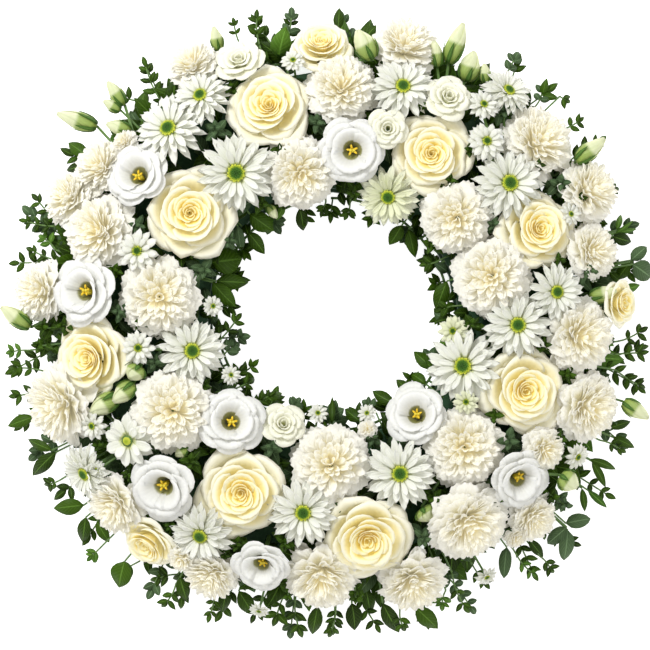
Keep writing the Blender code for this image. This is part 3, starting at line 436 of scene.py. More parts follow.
# Heads with smaller radii have fewer petals
SMALL_RADIUS = {"rose": 26 * MM, "carnation": 22 * MM, "lisianthus": 23 * MM, "daisy": 19 * MM}


class Bunch:
    """Collects thin petals and leaves in one mesh, and solid stems and eyes in another."""

    def __init__(self, name):
        self.name = name
        self.sheets = bmesh.new()
        self.solids = bmesh.new()
        self.sheet_mark = self.sheets.verts.layers.float_color.new("mark")
        self.solid_mark = self.solids.verts.layers.float_color.new("mark")

    def sheet(self, shape, across, along, tone, finish, depth=0.0, crowd=1.0):
        """One petal or leaf: shape(s, t) places its points, s from -1 to 1 across, t from root to tip.

        Its rows stand closer toward the tip where crowd is over 1.
        """
        made = bmesh.ops.create_grid(self.sheets, x_segments=across, y_segments=along, size=1)
        mark = self.sheet_mark
        for vert in made["verts"]:
            s, t = vert.co.x, 1 - max(0.0, (1 - vert.co.y) / 2) ** crowd
            vert.co = shape(s, t)
            vert[mark] = (s * 0.5 + 0.5, t, tone, depth)
            for face in vert.link_faces:
                face.material_index = finish

    def mark_solid(self, made, tone, finish):
        for vert in made["verts"]:
            vert[self.solid_mark] = (0, 0, tone, 0)
            for face in vert.link_faces:
                face.material_index = finish

    def bead(self, centre, radius, tone, finish, stretch=1.0, turn=None):
        """A round or drawn-out bead."""
        matrix = Matrix.Translation(centre)
        if turn is not None:
            matrix = matrix @ turn.to_4x4()
        matrix = matrix @ Matrix.Diagonal((1, 1, stretch, 1))
        made = bmesh.ops.create_icosphere(self.solids, subdivisions=1, radius=radius, matrix=matrix)
        self.mark_solid(made, tone, finish)

    def rod(self, start, end, radius, tone, finish, sides=6, end_radius=None):
        """A straight stem, closed at both ends."""
        run = end - start
        matrix = Matrix.Translation((start + end) / 2)
        matrix = matrix @ run.to_track_quat("Z", "Y").to_matrix().to_4x4()
        made = bmesh.ops.create_cone(
            self.solids, cap_ends=True, cap_tris=True, segments=sides, depth=run.length, matrix=matrix,
            radius1=radius, radius2=radius if end_radius is None else end_radius,
        )
        self.mark_solid(made, tone, finish)

    def finish(self, thickness, finishes, slot, nodes):
        """Make one piece of the sheets and one of the solids, which replace the frame's nodes."""
        for bm, suffix, names in ((self.sheets, "", SHEET_FINISHES), (self.solids, "_stems", SOLID_FINISHES)):
            if not bm.verts:
                bm.free()
                continue
            for face in bm.faces:
                face.smooth = True
            mesh = bpy.data.meshes.new(self.name + suffix)
            for vert in bm.verts:
                vert.co += RING_MIDDLE
                vert.co.z = max(vert.co.z, LOWEST)
            bm.to_mesh(mesh)
            bm.free()
            piece = bpy.data.objects.new(self.name + suffix, mesh)
            bpy.context.scene.collection.objects.link(piece)
            for name in names:
                mesh.materials.append(finishes[name])
            if not suffix:
                wall = piece.modifiers.new("thickness", "SOLIDIFY")
                wall.thickness = thickness
                wall.offset = 0
                wall.use_even_offset = False
            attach(piece, "root")
        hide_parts(*nodes)


def smooth(x):
    """From 0 to 1 with a soft start and end."""
    x = min(1.0, max(0.0, x))
    return x * x * (3 - 2 * x)


def on_curve(points, t):
    """Point of a curve through two ends, drawn toward two handles."""
    u = 1 - t
    shares = (u * u * u, 3 * u * u * t, 3 * u * t * t, t * t * t)
    return (sum(w * p[0] for w, p in zip(shares, points)), sum(w * p[1] for w, p in zip(shares, points)))


# Petals of a rose that are open, or half open
OPEN_PETALS = 14


def rose_lip(k, count):
    """Reach of a petal's lip: five wide open, nine half open, the rest wound tight in the cup."""
    if k < 5:
        return 1.0 - 0.014 * k
    if k < 10:
        return 0.85 - 0.022 * (k - 5)
    if k < OPEN_PETALS:
        return 0.66 - 0.030 * (k - 10)
    return 0.035 + 0.46 * (1 - (k - OPEN_PETALS) / (count - OPEN_PETALS)) ** 1.15


def rose(bunch, bloom, chooser):
    """Petals at the angle of a sunflower's seeds, wide open outside and wound tight in the middle."""
    radius = bloom.radius
    count = 24 if radius <= SMALL_RADIUS["rose"] else 31
    for k in range(count):
        lip = rose_lip(k, count)
        opened = smooth((lip - 0.46) / 0.48)
        height = 0.06 - 0.35 * opened**1.4 - 0.38 * max(0.0, 0.46 - lip) + chooser.uniform(-0.012, 0.012)
        depth = 1 - lip
        lip *= chooser.uniform(0.96, 1.04)
        roll = 0.04 + 0.12 * opened
        shut = ((0.02, -0.70), (0.30 * lip, height - 0.40), (0.74 * lip, height - 0.13), (lip, height))
        wide_open = (
            (0.03, -1.0), (0.75 * (lip - roll), -0.72), (lip - 1.1 * roll, height + 0.18),
            (lip, height - 0.12),
        )
        path = tuple(
            (a[0] + (b[0] - a[0]) * opened, a[1] + (b[1] - a[1]) * opened) for a, b in zip(shut, wide_open)
        )
        azimuth = bloom.spin + k * GOLDEN_ANGLE + chooser.uniform(-0.2, 0.2)
        half_width = math.radians(54 + 16 * (1 - opened))
        wave = chooser.uniform(0, math.tau)
        tuck = chooser.uniform(0.05, 0.13) * (1 - 0.75 * opened)
        tip = chooser.uniform(0.01, 0.10) * opened
        tone = 0.5 * bloom.tone + 0.5 * chooser.random()

        def shape(s, t):
            edge = abs(s)
            out, up = on_curve(path, t * (1 - 0.20 * edge**3.2))
            out *= 1 - (0.05 + 0.15 * opened) * s * s * t - tuck * s + tip * max(0.0, 1 - edge / 0.25) * t**4
            up -= 0.10 * opened * edge**3 * t * t
            up += (0.012 + 0.03 * opened) * t * t * math.sin(3.1 * s + wave)
            out += (0.006 + 0.014 * opened) * t**3 * math.sin(6.3 * s + 2 * wave)
            angle = azimuth + s * half_width
            return bloom.place(polar(out, angle, up) * radius)

        grid = (10, 7) if k < OPEN_PETALS else (8, 6)
        bunch.sheet(shape, *grid, tone, ROSE, depth)
    sepals(bunch, bloom, -1.02 * radius, 0.62 * radius, math.radians(105))


def sepals(bunch, bloom, level, length, lean):
    """Five narrow green leaves under a head."""
    for k in range(5):
        azimuth = bloom.spin + math.tau * k / 5

        def shape(s, t):
            wide = 0.17 * length * math.sin(math.pi * (0.12 + 0.88 * t)) ** 0.8
            angle = lean - 0.9 * t
            out = length * t * math.sin(angle) + 0.04 * length
            up = level + length * t * math.cos(angle)
            return bloom.place(polar(out, azimuth, up) + tangent(azimuth) * wide * s)

        bunch.sheet(shape, 2, 4, 0.5, SEPAL)


# Faces across and along a carnation's fan, an even number across, as each second point is a tooth
FAN_GRID = (8, 3)
# Layers of fans, outer first: how many, how far they lean in degrees and their share of the radius
FAN_LAYERS = ((8, 90, 1.0), (9, 80, 1.0), (10, 70, 0.97), (10, 60, 0.93))


def ways(chooser, azimuth, lean, roll):
    """Ways ahead, aside and back of a petal that leans out of its head, turned a little at random."""
    ahead = polar(math.sin(lean), azimuth, math.cos(lean))
    side = Matrix.Rotation(chooser.uniform(-roll, roll), 3, ahead) @ tangent(azimuth)
    return ahead, side, side.cross(ahead)


def fan(bunch, bloom, chooser, start, azimuth, lean, length, wide, ruffle, depth):
    """One toothed petal: narrow at its root, broad and ruffled at its lip, bent outward."""
    ahead, side, back = ways(chooser, azimuth, lean, 0.25)
    phase = chooser.uniform(0, math.tau)
    cup = wide * chooser.uniform(0.10, 0.45)
    curl = 0.06 * bloom.radius
    tone = 0.35 * bloom.tone + 0.65 * chooser.random()

    def shape(s, t):
        tooth = 0.055 if round((s + 1) * FAN_GRID[0] / 2) % 2 else 0.0
        reach = length * t * (1 - 0.5 * wide / length * s * s * t + tooth * t**5)
        span = wide * s * (0.16 + 0.84 * t**1.1) * (1 - 0.10 * t**8)
        bend = curl * t**2.2 - cup * s * s * t
        wave = ruffle * t * t * math.sin(3.6 * s + phase)
        bend += wave + 0.4 * ruffle * t**4 * math.sin(9.0 * s + 2 * phase)
        return bloom.place(start + ahead * reach + side * span + back * bend)

    bunch.sheet(shape, *FAN_GRID, tone, CARNATION, depth)


def floret(bunch, bloom, chooser, root, azimuth, lean, length, wide, curl, depth):
    """One rounded tongue of a carnation's dome, hollow along its middle and bent outward."""
    ahead, side, back = ways(chooser, azimuth, lean, 0.55)
    hollow = wide * chooser.uniform(0.35, 0.85)
    sway = wide * chooser.uniform(-0.5, 0.5)
    tone = 0.35 * bloom.tone + 0.65 * chooser.random()

    def shape(s, t):
        rounded = math.sqrt(1 - 0.94 * max(0.0, (t - 0.72) / 0.28) ** 2)
        span = (0.35 + 0.65 * t) * rounded
        bend = curl * t**3 - hollow * (s * span) ** 2
        return bloom.place(root + ahead * length * t + side * (wide * s * span + sway * t * t) + back * bend)

    bunch.sheet(shape, 4, 4, tone, CARNATION, depth, 1.5)


def carnation(bunch, bloom, chooser):
    """Broad toothed fans under a dome of rounded tongues, tighter and warmer toward the middle."""
    radius = bloom.radius
    small = radius < SMALL_RADIUS["carnation"]
    level = -0.60 * radius
    start = Vector((0, 0, level))
    for layer, (count, degrees, share) in enumerate(FAN_LAYERS):
        for k in range(count):
            azimuth = bloom.spin + math.tau * (k + 0.5 * (layer % 2) + chooser.uniform(-0.2, 0.2)) / count
            lean = math.radians(degrees + chooser.uniform(-6, 6))
            length = radius * share * chooser.uniform(0.94, 1.06)
            wide = radius * chooser.uniform(0.27, 0.37)
            ruffle = radius * chooser.uniform(0.02, 0.05)
            fan(bunch, bloom, chooser, start, azimuth, lean, length, wide, ruffle, 0.09 * layer)
    florets = 44 if small else 88
    for k in range(florets):
        share = math.sqrt((k + 0.6) / florets)
        azimuth = bloom.spin + k * GOLDEN_ANGLE + chooser.uniform(-0.3, 0.3)
        lean = math.radians(46 * share + chooser.uniform(-5, 5))
        length = radius * (0.90 + 0.04 * share) * chooser.uniform(0.91, 1.05)
        wide = radius * (0.082 + 0.050 * share) * chooser.uniform(0.8, 1.2) * (1.3 if small else 1)
        curl = radius * (0.03 + 0.07 * share) * chooser.uniform(0.4, 1.3)
        root = start + polar(1, azimuth, 0) * 0.12 * radius * share
        floret(bunch, bloom, chooser, root, azimuth, lean, length, wide, curl, 1 - 0.66 * share)
    top = bloom.place(Vector((0, 0, -0.50 * radius)))
    foot = bloom.place(Vector((0, 0, -1.15 * radius)))
    bunch.rod(foot, top, 0.13 * radius, 0.5, STEM, 8, 0.22 * radius)


# Whorls of a lisianthus, outer first: petals, how far closed, rim and height in radii
SINGLE_WHORLS = ((6, 0.00, 1.00, -0.17), (5, 0.35, 0.86, -0.02), (3, 0.60, 0.66, 0.05))
DOUBLE_WHORLS = (
    (5, 0.00, 1.00, -0.20), (5, 0.25, 0.78, -0.04), (4, 0.50, 0.54, 0.03), (3, 0.75, 0.32, 0.02),
    (2, 1.00, 0.16, 0.00),
)


def lisianthus(bunch, bloom, chooser):
    """Whorls of broad wavy petals round a deep throat with a star of stamens, or round small petals."""
    radius = bloom.radius
    small = radius < SMALL_RADIUS["lisianthus"]
    whorls = DOUBLE_WHORLS if small else SINGLE_WHORLS
    for whorl, (count, closed, rim, height) in enumerate(whorls):
        for k in range(count):
            lip = rim * chooser.uniform(0.94, 1.05)
            top = height + chooser.uniform(-0.03, 0.03)
            path = (
                (0.07, -0.66), (0.28 - 0.11 * closed * small, -0.40),
                (lip * (0.52 + 0.18 * closed), top + 0.04), (lip, top - 0.02 + 0.04 * closed),
            )
            azimuth = bloom.spin + math.tau * (k + 0.5 * whorl + chooser.uniform(-0.12, 0.12)) / count
            wave = chooser.uniform(0, math.tau)
            half_width = math.radians((205 if small else 236) / count)
            tuck = chooser.uniform(0.02, 0.07)
            tone = 0.5 * bloom.tone + 0.5 * chooser.random()

            def shape(s, t):
                edge = abs(s)
                out, up = on_curve(path, t * (1 - 0.13 * edge**3))
                out *= 1 - 0.07 * s * s * t - tuck * s
                up += 0.045 * t**3 * math.sin(3.8 * s + wave) + 0.018 * t**4 * math.sin(9 * s + 2 * wave)
                angle = azimuth + s * half_width
                return bloom.place(polar(out, angle, up) * radius)

            bunch.sheet(shape, 8, 7, tone, LISIANTHUS, 0.35 if small else 0.0)
    if small:
        return
    heart = Vector((0, 0, -0.58 * radius))
    low, high = (bloom.place(heart + Vector((0, 0, rise * radius))) for rise in (-0.12, 0.26))
    bunch.rod(low, high, 0.075 * radius, 0.6, PISTIL, 8)
    lean = Vector((chooser.uniform(-0.05, 0.05), chooser.uniform(-0.05, 0.05), 0)) * radius
    for side in (-1, 1):
        lobe = heart + lean + Vector((side * 0.045 * radius, 0, 0.29 * radius))
        bunch.bead(bloom.place(lobe), 0.055 * radius, 0.8, PISTIL, 0.7, bloom.turn)
    for k in range(5):
        angle = bloom.spin + math.tau * k / 5 + chooser.uniform(-0.2, 0.2)
        out = polar(1, angle, 0)
        root = heart + out * 0.05 * radius
        top = heart + lean + out * 0.105 * radius + Vector((0, 0, 0.28 * radius))
        bunch.rod(bloom.place(root), bloom.place(top), 0.018 * radius, 0.5, PISTIL, 5)
        aim = (bloom.turn @ (out + Vector((0, 0, 0.5)))).to_track_quat("Z", "Y").to_matrix()
        bunch.bead(bloom.place(top), 0.038 * radius, 0.5, ANTHER, 2.2, aim)


# Layers of a daisy's rays, inner first: how many, length in radii, rise in degrees, half width in radii
RAY_LAYERS = {
    "broad": ((4, 0.74, 34, 0.16), (8, 1.00, 12, 0.21), (8, 1.02, -6, 0.22)),
    "small": ((9, 0.70, 30, 0.130), (11, 1.00, 10, 0.165), (10, 0.95, -8, 0.165)),
    "large": ((12, 0.66, 34, 0.080), (15, 0.88, 19, 0.098), (16, 1.02, 6, 0.112), (14, 0.98, -9, 0.118)),
}


def daisy(bunch, bloom, chooser):
    """Grooved rays in layers, short and raised inside, long and flat outside, round a domed eye."""
    radius = bloom.radius
    small = radius < SMALL_RADIUS["daisy"]
    layers = RAY_LAYERS[bloom.look if bloom.look == "broad" else "small" if small else "large"]
    for layer, (count, share, degrees, half) in enumerate(layers):
        for k in range(count):
            azimuth = bloom.spin + math.tau * (k + 0.5 * layer + chooser.uniform(-0.18, 0.18)) / count
            length = share * chooser.uniform(0.92, 1.06)
            rise = math.tan(math.radians(degrees + chooser.uniform(-6, 6)))
            droop = chooser.uniform(0.10, 0.26)
            sway = chooser.uniform(-0.05, 0.05)
            wide = half * chooser.uniform(0.88, 1.10)
            cup = chooser.uniform(0.03, 0.06)
            tone = 0.5 * bloom.tone + 0.5 * chooser.random()
            start = 0.16 + 0.01 * layer
            along = polar(1, azimuth, 0)
            side = tangent(azimuth)

            def shape(s, t):
                if t < 0.6:
                    span = 0.42 + 0.58 * smooth(t / 0.6)
                else:
                    span = max(0.04, 1 - ((t - 0.6) / 0.4) ** 2.3) ** 0.72
                run = (length - start) * t
                out = start + run * (1 - 0.06 * t * abs(s))
                up = -0.05 - 0.025 * layer + run * rise - droop * run * run
                up += cup * s * s * span + 0.012 * math.cos(2 * math.pi * s) * span
                place = along * out + side * (wide * span * s + sway * t * t) + Vector((0, 0, up))
                return bloom.place(place * radius)

            depth = 1 - layer / 12 if bloom.look == "green" else layer / 6
            grid = (4, 5) if half > 0.17 or not small else (2, 4)
            bunch.sheet(shape, *grid, tone, DAISY, depth, 1.3)
    eye = (0.13 if bloom.look == "broad" else 0.205) * radius
    florets = 34 if small else 84
    for k in range(florets):
        share = math.sqrt((k + 0.5) / florets)
        angle = k * GOLDEN_ANGLE
        dome = 0.07 * radius * (1 - share * share) + 0.015 * radius
        spot = polar(eye * share, angle, dome)
        size = radius * (0.022 + 0.013 * share) * (1.35 if small else 1)
        tone = 0.75 + 0.2 * share if bloom.look == "broad" else share
        bunch.bead(bloom.place(spot), size, tone, EYE, 1.5, bloom.turn)
    low, high = (bloom.place(Vector((0, 0, rise * radius))) for rise in (-0.38, 0.01))
    bunch.rod(low, high, 0.12 * radius, 0.5, STEM, 9, 0.22 * radius)


def bud(bunch, bloom, chooser):
    """A closed bud of petals wound round each other, in five narrow sepals."""
    radius, half = bloom.radius, bloom.half_length
    for k in range(5):
        azimuth = bloom.spin + math.tau * k / 5
        tone = chooser.random()

        def shape(s, t):
            swell = math.sin(math.pi * (0.10 + 0.84 * t) ** 0.80) ** 0.85
            angle = azimuth + s * 0.95 + 1.3 * t
            out = radius * swell * (1.0 - 0.10 * s)
            return bloom.place(polar(out, angle, half * (2 * t - 1)))

        bunch.sheet(shape, 4, 7, tone, BUD)
        azimuth += 0.6

        def leaf_shape(s, t):
            swell = math.sin(math.pi * (0.10 + 0.60 * t) ** 0.80) ** 0.85
            angle = azimuth + s * 0.34 * (1 - t) ** 0.7
            out = radius * (swell + 0.10 + 0.35 * t**3)
            return bloom.place(polar(out, angle, half * (1.1 * t - 1.02)))

        bunch.sheet(leaf_shape, 2, 4, 0.5, SEPAL)


MAKERS = {
    "rose": rose, "carnation": carnation, "side_carnation": carnation, "lisianthus": lisianthus,
    "daisy": daisy, "small_daisy": daisy, "bud": bud,
}


def bent_rod(bunch, points, radius, tone, sides=6):
    """A stem through several points, with a bead at each bend."""
    for a, b in zip(points, points[1:]):
        bunch.rod(a, b, radius, tone, STEM, sides)
    for point in points[1:-1]:
        bunch.bead(point, radius * 1.02, tone, STEM)


def stem_end(foot):
    """Where a stem goes into the foam under a point: its flank, or its top."""
    reach = foot.to_2d().length
    angle = math.atan2(foot.y, foot.x)
    if reach > FLANK_REACH:
        return polar(RING_RADIUS + FOAM_HALF_WIDTH - FLANK_DEPTH, angle, FOAM_SHOULDER + 3 * MM)
    inner = RING_RADIUS - FOAM_HALF_WIDTH + EDGE_MARGIN
    outer = RING_RADIUS + FOAM_HALF_WIDTH - EDGE_MARGIN
    return polar(min(max(reach, inner), outer), angle, FOAM_TOP - TOP_DEPTH)


def flower_node(node, heads, nodes, slot, finishes):
    """The heads of one table row on their stems: side heads branch off the first one's, or stand alone."""
    chooser = random.Random(node)
    bunch = Bunch(node + "_petals")
    main = None
    for k, item in enumerate(heads):
        bloom = Bloom(item, chooser, k > 0 and nodes)
        MAKERS[bloom.kind](bunch, bloom, chooser)
        neck = bloom.foot - bloom.axis * NECK * MM
        end = bloom.foot + bloom.axis * ROOTED * MM
        if main is None or not nodes:
            main = bloom
            thick = STEM_RADIUS if nodes else 0.5 * STEM_RADIUS
            bent_rod(bunch, (stem_end(bloom.foot), neck, end), thick, 0.4)
        else:
            fork = main.foot - main.axis * MM
            bent_rod(bunch, (fork, neck, end), 0.6 * STEM_RADIUS, 0.6)
    bunch.finish(looks().petal_thickness, finishes, slot, nodes)


# Leaves
def leaf(bunch, root, ahead, length, width, chooser, finish, droop=None, light=1.0):
    """A leaf from its root: folded along its midrib, bowed along its length."""
    ahead = ahead.normalized()
    side = ahead.cross(UP)
    side = side.normalized() if side.length > 1e-4 else Vector((1, 0, 0))
    normal = side.cross(ahead).normalized()
    droop = chooser.uniform(-0.05, 0.25) if droop is None else droop
    fold = chooser.uniform(0.02, 0.22)
    twist = chooser.uniform(-0.5, 0.5)
    # light caps the leaf's random tone toward its darker colour; a low cap is painted shade where leaves lie
    # under the heads.
    tone = light * chooser.random()
    sway = chooser.uniform(-0.10, 0.10)
    blunt = 0.62 if finish == GREY else 0.86

    def shape(s, t):
        wide = width / 2 * (math.sin(math.pi * t**0.86) ** blunt + 0.05 * (1 - t))
        turned = twist * t
        cross = side * math.cos(turned) + normal * math.sin(turned)
        lift = normal * math.cos(turned) - side * math.sin(turned)
        bow = normal * length * (0.08 * math.sin(math.pi * t) - droop * t * t)
        middle = root + ahead * length * t * (1 - 0.12 * droop * t)
        return middle + cross * (wide * s + sway * length * t * t) + lift * fold * wide * abs(s) + bow

    bunch.sheet(shape, 2, 7 if length > 20 * MM else 6, tone, finish)


def leafy_twig(bunch, root, tip, length, chooser, finish, width_share):
    """A twig with leaves in pairs, smaller toward its tip, and one leaf at its end."""
    run = tip - root
    reach = run.length
    ahead = run / reach
    side = ahead.cross(UP).normalized()
    end = root + ahead * max(reach - 0.8 * length, 0.4 * reach)
    bow = Vector((0, 0, 0.10 * reach)) + side * reach * chooser.uniform(-0.10, 0.10)

    def spot(t):
        return root.lerp(end, t) + bow * math.sin(math.pi * t) * 0.5

    points = [spot(k / 5) for k in range(6)]
    for a, b in zip(points, points[1:]):
        bunch.rod(a, b, TWIG_RADIUS, 0.75, STEM, 5)
    last = points[-1] - points[-2]
    leaf(bunch, points[-1], last, 0.8 * length, 0.8 * width_share * length, chooser, finish)
    pairs = max(2, round((end - root).length / (1.05 * length)))
    for pair in range(pairs):
        t = 0.93 - 0.80 * pair / pairs
        size = length * (1.0 - 0.22 * t) * chooser.uniform(0.80, 1.12)
        for way in (-1, 1):
            slant = ahead * chooser.uniform(0.5, 1.1) + side * way
            slant += Vector((0, 0, chooser.uniform(-0.4, 0.55)))
            leaf(bunch, spot(t), slant, size, width_share * size, chooser, finish)


# Single leaves in 60 degrees of the collar, beside its twigs
OUTER_LEAVES, INNER_LEAVES = 62, 6


def collar(name, sprigs, low, width, outward, finishes):
    """The twigs and leaves of one sector of the collar, on their runner."""
    chooser = random.Random(name)
    bunch = Bunch(name + "_leaves")
    reach = OUTER_RUNNER if outward else INNER_RUNNER
    inside = math.radians(2)
    steps = 10
    turns = [low + inside + (width - 2 * inside) * k / steps for k in range(steps + 1)]
    arc = [polar(reach, turn, RUNNER_HEIGHT) for turn in turns]
    bent_rod(bunch, arc, RUNNER_RADIUS, 0.4)
    for k in (1, steps - 1):
        wall = RING_RADIUS + (FOAM_HALF_WIDTH - 6 * MM if outward else -FOAM_HALF_WIDTH + 6 * MM)
        angle = math.atan2(arc[k].y, arc[k].x)
        bent_rod(bunch, (polar(wall, angle, RUNNER_HEIGHT), arc[k]), PEG_RADIUS, 0.4)
    for number, (at, leaf_length) in enumerate(sprigs):
        height = (21 if outward else 36) * MM + 9 * MM * math.sin(number * 2.1)
        tip = plan(at, height)
        angle = math.atan2(tip.y, tip.x)
        if (angle - low) % math.tau > width:
            continue
        grey = number % 4 == 2
        root = polar(reach, angle + chooser.uniform(-0.10, 0.10), RUNNER_HEIGHT)
        length = (0.80 if outward else 0.84) * leaf_length * MM
        leafy_twig(bunch, root, tip, length, chooser, GREY if grey else DARK, 0.62 if grey else 0.46)
    count = round((OUTER_LEAVES if outward else INNER_LEAVES) * width / math.radians(60))
    for k in range(count):
        angle = low + width * (k + chooser.uniform(0.1, 0.9)) / count
        if outward:
            root = polar(reach - chooser.uniform(-5, 12) * MM, angle, chooser.uniform(9, 38) * MM)
            turn = angle + chooser.uniform(-0.9, 0.9)
            ahead = polar(1, turn, (root.z / MM - 18) / 26 + chooser.uniform(-0.2, 0.5))
            length = chooser.uniform(20, 36) * MM
        else:
            root = polar(reach + chooser.uniform(0, 7) * MM, angle, chooser.uniform(12, 50) * MM)
            ahead = polar(-1, angle + chooser.uniform(-1.2, 1.2), chooser.uniform(-0.1, 1.4))
            length = chooser.uniform(12, 18) * MM
        finish = chooser.choice((DARK, DARK, DARK, GREY, FRESH))
        leaf(bunch, root, ahead, length, length * chooser.uniform(0.42, 0.58), chooser, finish)
    slot = "outer_leaves" if outward else "inner_leaves"
    bunch.finish(looks().leaf_thickness, finishes, slot, [name])


KIND_OF_LEAF = {"D": DARK, "G": GREY, "F": FRESH}
# Where the outer edge and the hole's edge start, and in millimetres the heights there of a leaf's root and
# tip, and how far these lie under the faces elsewhere
OUTER_EDGE, HOLE_EDGE = RING_RADIUS + 62 * MM, RING_RADIUS - 46 * MM
OUTER_EDGE_HEIGHTS, HOLE_EDGE_HEIGHTS, UNDER_FACES = (34, 26), (46, 40), (26, 22)


def rim_height(at, tip):
    """Height of a leaf that shows at a place: low round the outer edge, near the faces between heads."""
    reach = plan(at, FACE_LEVEL).to_2d().length
    if reach > OUTER_EDGE:
        return OUTER_EDGE_HEIGHTS[tip] * MM
    if reach < HOLE_EDGE:
        return HOLE_EDGE_HEIGHTS[tip] * MM
    return cushion(reach)[0] - UNDER_FACES[tip] * MM


# The leaves between the heads are made in one bunch for each quarter of the ring
QUARTERS = 4
# Leaves of a rosette
TUFT_LEAVES = 10


def shown_leaves(finishes):
    """The leaves, sprays and rosettes that the photograph shows, each on a stem from the foam."""
    chooser = random.Random(5)
    bunches = [Bunch("leaf_sprays_%02d" % (k + 1)) for k in range(QUARTERS)]

    def held(point):
        turn = math.atan2(point.y, point.x) % math.tau
        bunch = bunches[int(turn / math.tau * QUARTERS) % QUARTERS]
        bent_rod(bunch, (stem_end(point), point), LEAF_STEM_RADIUS, 0.5, 5)
        return bunch

    for start, end, width, kind in LARGE_LEAVES:
        root = plan(start, rim_height(start, False) + chooser.uniform(-3, 3) * MM)
        tip = plan(end, rim_height(end, True) + chooser.uniform(-4, 4) * MM)
        bunch = held(root)
        length = (tip - root).length * 1.05
        leaf(bunch, root, tip - root, length, 1.08 * width * PIXEL, chooser, KIND_OF_LEAF[kind], 0.08)
    for start, end, length, kind in SPRAYS:
        root = plan(start, rim_height(start, False) + chooser.uniform(-4, 4) * MM)
        tip = plan(end, rim_height(end, True) + chooser.uniform(-6, 8) * MM)
        share = 0.60 if kind == "G" else 0.46
        leafy_twig(held(root), root, tip, 1.1 * length * PIXEL, chooser, KIND_OF_LEAF[kind], share)
    for at, length, kind in TUFTS:
        reach = plan(at, FACE_LEVEL).to_2d().length
        height, lean = cushion(reach)
        top = plan(at, height - 7 * MM)
        angle = math.atan2(top.y, top.x)
        axis = polar(math.sin(lean), angle, math.cos(lean))
        bunch = held(top)
        for k in range(TUFT_LEAVES):
            down = k // 2
            turn = 1.4 * down + (math.pi if k % 2 else 0) + chooser.uniform(-0.4, 0.4)
            size = 1.1 * length * PIXEL * (0.60 + 0.12 * down) * chooser.uniform(0.9, 1.1)
            root = top - axis * down * 3.2 * MM
            ahead = polar(1, turn, 0.9 - 0.2 * down) + axis * 0.2
            leaf(bunch, root, ahead, size, 0.55 * size, chooser, KIND_OF_LEAF[kind], droop=0.12)
    for bunch in bunches:
        bunch.finish(looks().leaf_thickness, finishes, "outer_leaves", [])


# Leaves over each quarter of the foam
FILLER_LEAVES = 110


def filler_leaves(finishes):
    """Leaves close over the foam, between the flowers' stems and round the foam's inner flank, kept near
    their darker colour as painted shade under the heads.
    """
    chooser = random.Random(11)
    for part in range(QUARTERS):
        bunch = Bunch("filler_leaves_%02d" % (part + 1))
        for k in range(FILLER_LEAVES):
            angle = math.tau * (part + (k + chooser.random()) / FILLER_LEAVES) / QUARTERS
            flank = k % 6 == 0
            reach = chooser.uniform(105, 122) * MM if flank else chooser.uniform(118, 208) * MM
            level = foam_surface(max(reach, 108 * MM)) + chooser.uniform(-1, 8) * MM
            root = polar(reach, angle, level)
            if flank:
                ahead = polar(-1, angle + chooser.uniform(-1.5, 1.5), chooser.uniform(0.0, 1.3))
            else:
                ahead = polar(1, chooser.uniform(0, math.tau), chooser.uniform(0.3, 1.6))
            length = (chooser.uniform(13, 18) if flank else chooser.uniform(18, 30)) * MM
            finish = chooser.choice((DARK, DARK, DARK, DARK, GREY))
            width = length * chooser.uniform(0.45, 0.62)
            # A low light keeps these leaves near their darker colour: painted shade under the heads.
            leaf(bunch, root, ahead, length, width, chooser, finish, light=0.2)
        bunch.finish(looks().leaf_thickness, finishes, "outer_leaves", [])


# Materials
def fresh_material(name):
    """The material of that name, with its node tree and its shader where it has still to be filled."""
    old = bpy.data.materials.get(name)
    if old:
        return old, None, None
    material = bpy.data.materials.new(name)
    material.use_nodes = True
    tree = material.node_tree
    return material, tree, tree.nodes["Principled BSDF"]


def marks(tree):
    """The sheet's own marks: across, along, tone and how deep in the head it grows."""
    attribute = tree.nodes.new("ShaderNodeAttribute")
    attribute.attribute_name = "mark"
    split = tree.nodes.new("ShaderNodeSeparateColor")
    tree.links.new(attribute.outputs["Color"], split.inputs["Color"])
    return split.outputs["Red"], split.outputs["Green"], split.outputs["Blue"], attribute.outputs["Alpha"]


def ramp(tree, source, stops):
    """Colour by a value, blended softly between its stops."""
    node = tree.nodes.new("ShaderNodeValToRGB")
    node.color_ramp.interpolation = "EASE"
    while len(node.color_ramp.elements) < len(stops):
        node.color_ramp.elements.new(0.5)
    for element, (place, colour) in zip(node.color_ramp.elements, stops):
        element.position = place
        element.color = (*colour, 1)
    tree.links.new(source, node.inputs["Fac"])
    return node.outputs["Color"]


def mixed(tree, kind, share, one, two):
    """Two colours blended in one way, each a socket or a constant."""
    node = tree.nodes.new("ShaderNodeMix")
    node.data_type = "RGBA"
    node.blend_type = kind
    for socket, value in ((node.inputs[0], share), (node.inputs[6], one), (node.inputs[7], two)):
        if isinstance(value, bpy.types.NodeSocket):
            tree.links.new(value, socket)
        elif isinstance(value, (int, float)):
            socket.default_value = value
        else:
            socket.default_value = (*value, 1)
    return node.outputs[2]


def calc(tree, operation, *values):
    """A sum on sockets and constants."""
    node = tree.nodes.new("ShaderNodeMath")
    node.operation = operation
    for socket, value in zip(node.inputs, values):
        if isinstance(value, bpy.types.NodeSocket):
            tree.links.new(value, socket)
        else:
            socket.default_value = value
    return node.outputs[0]


def noise(tree, scale, detail=3.0):
    """Patches fixed to the object."""
    place = tree.nodes.new("ShaderNodeTexCoord")
    node = tree.nodes.new("ShaderNodeTexNoise")
    node.inputs["Scale"].default_value = scale
    node.inputs["Detail"].default_value = detail
    tree.links.new(place.outputs["Object"], node.inputs["Vector"])
    return node.outputs["Fac"]


def bumped(tree, shader, height, distance, strength):
    node = tree.nodes.new("ShaderNodeBump")
    node.inputs["Strength"].default_value = strength
    node.inputs["Distance"].default_value = distance
    tree.links.new(height, node.inputs["Height"])
    tree.links.new(node.outputs["Normal"], shader.inputs["Normal"])


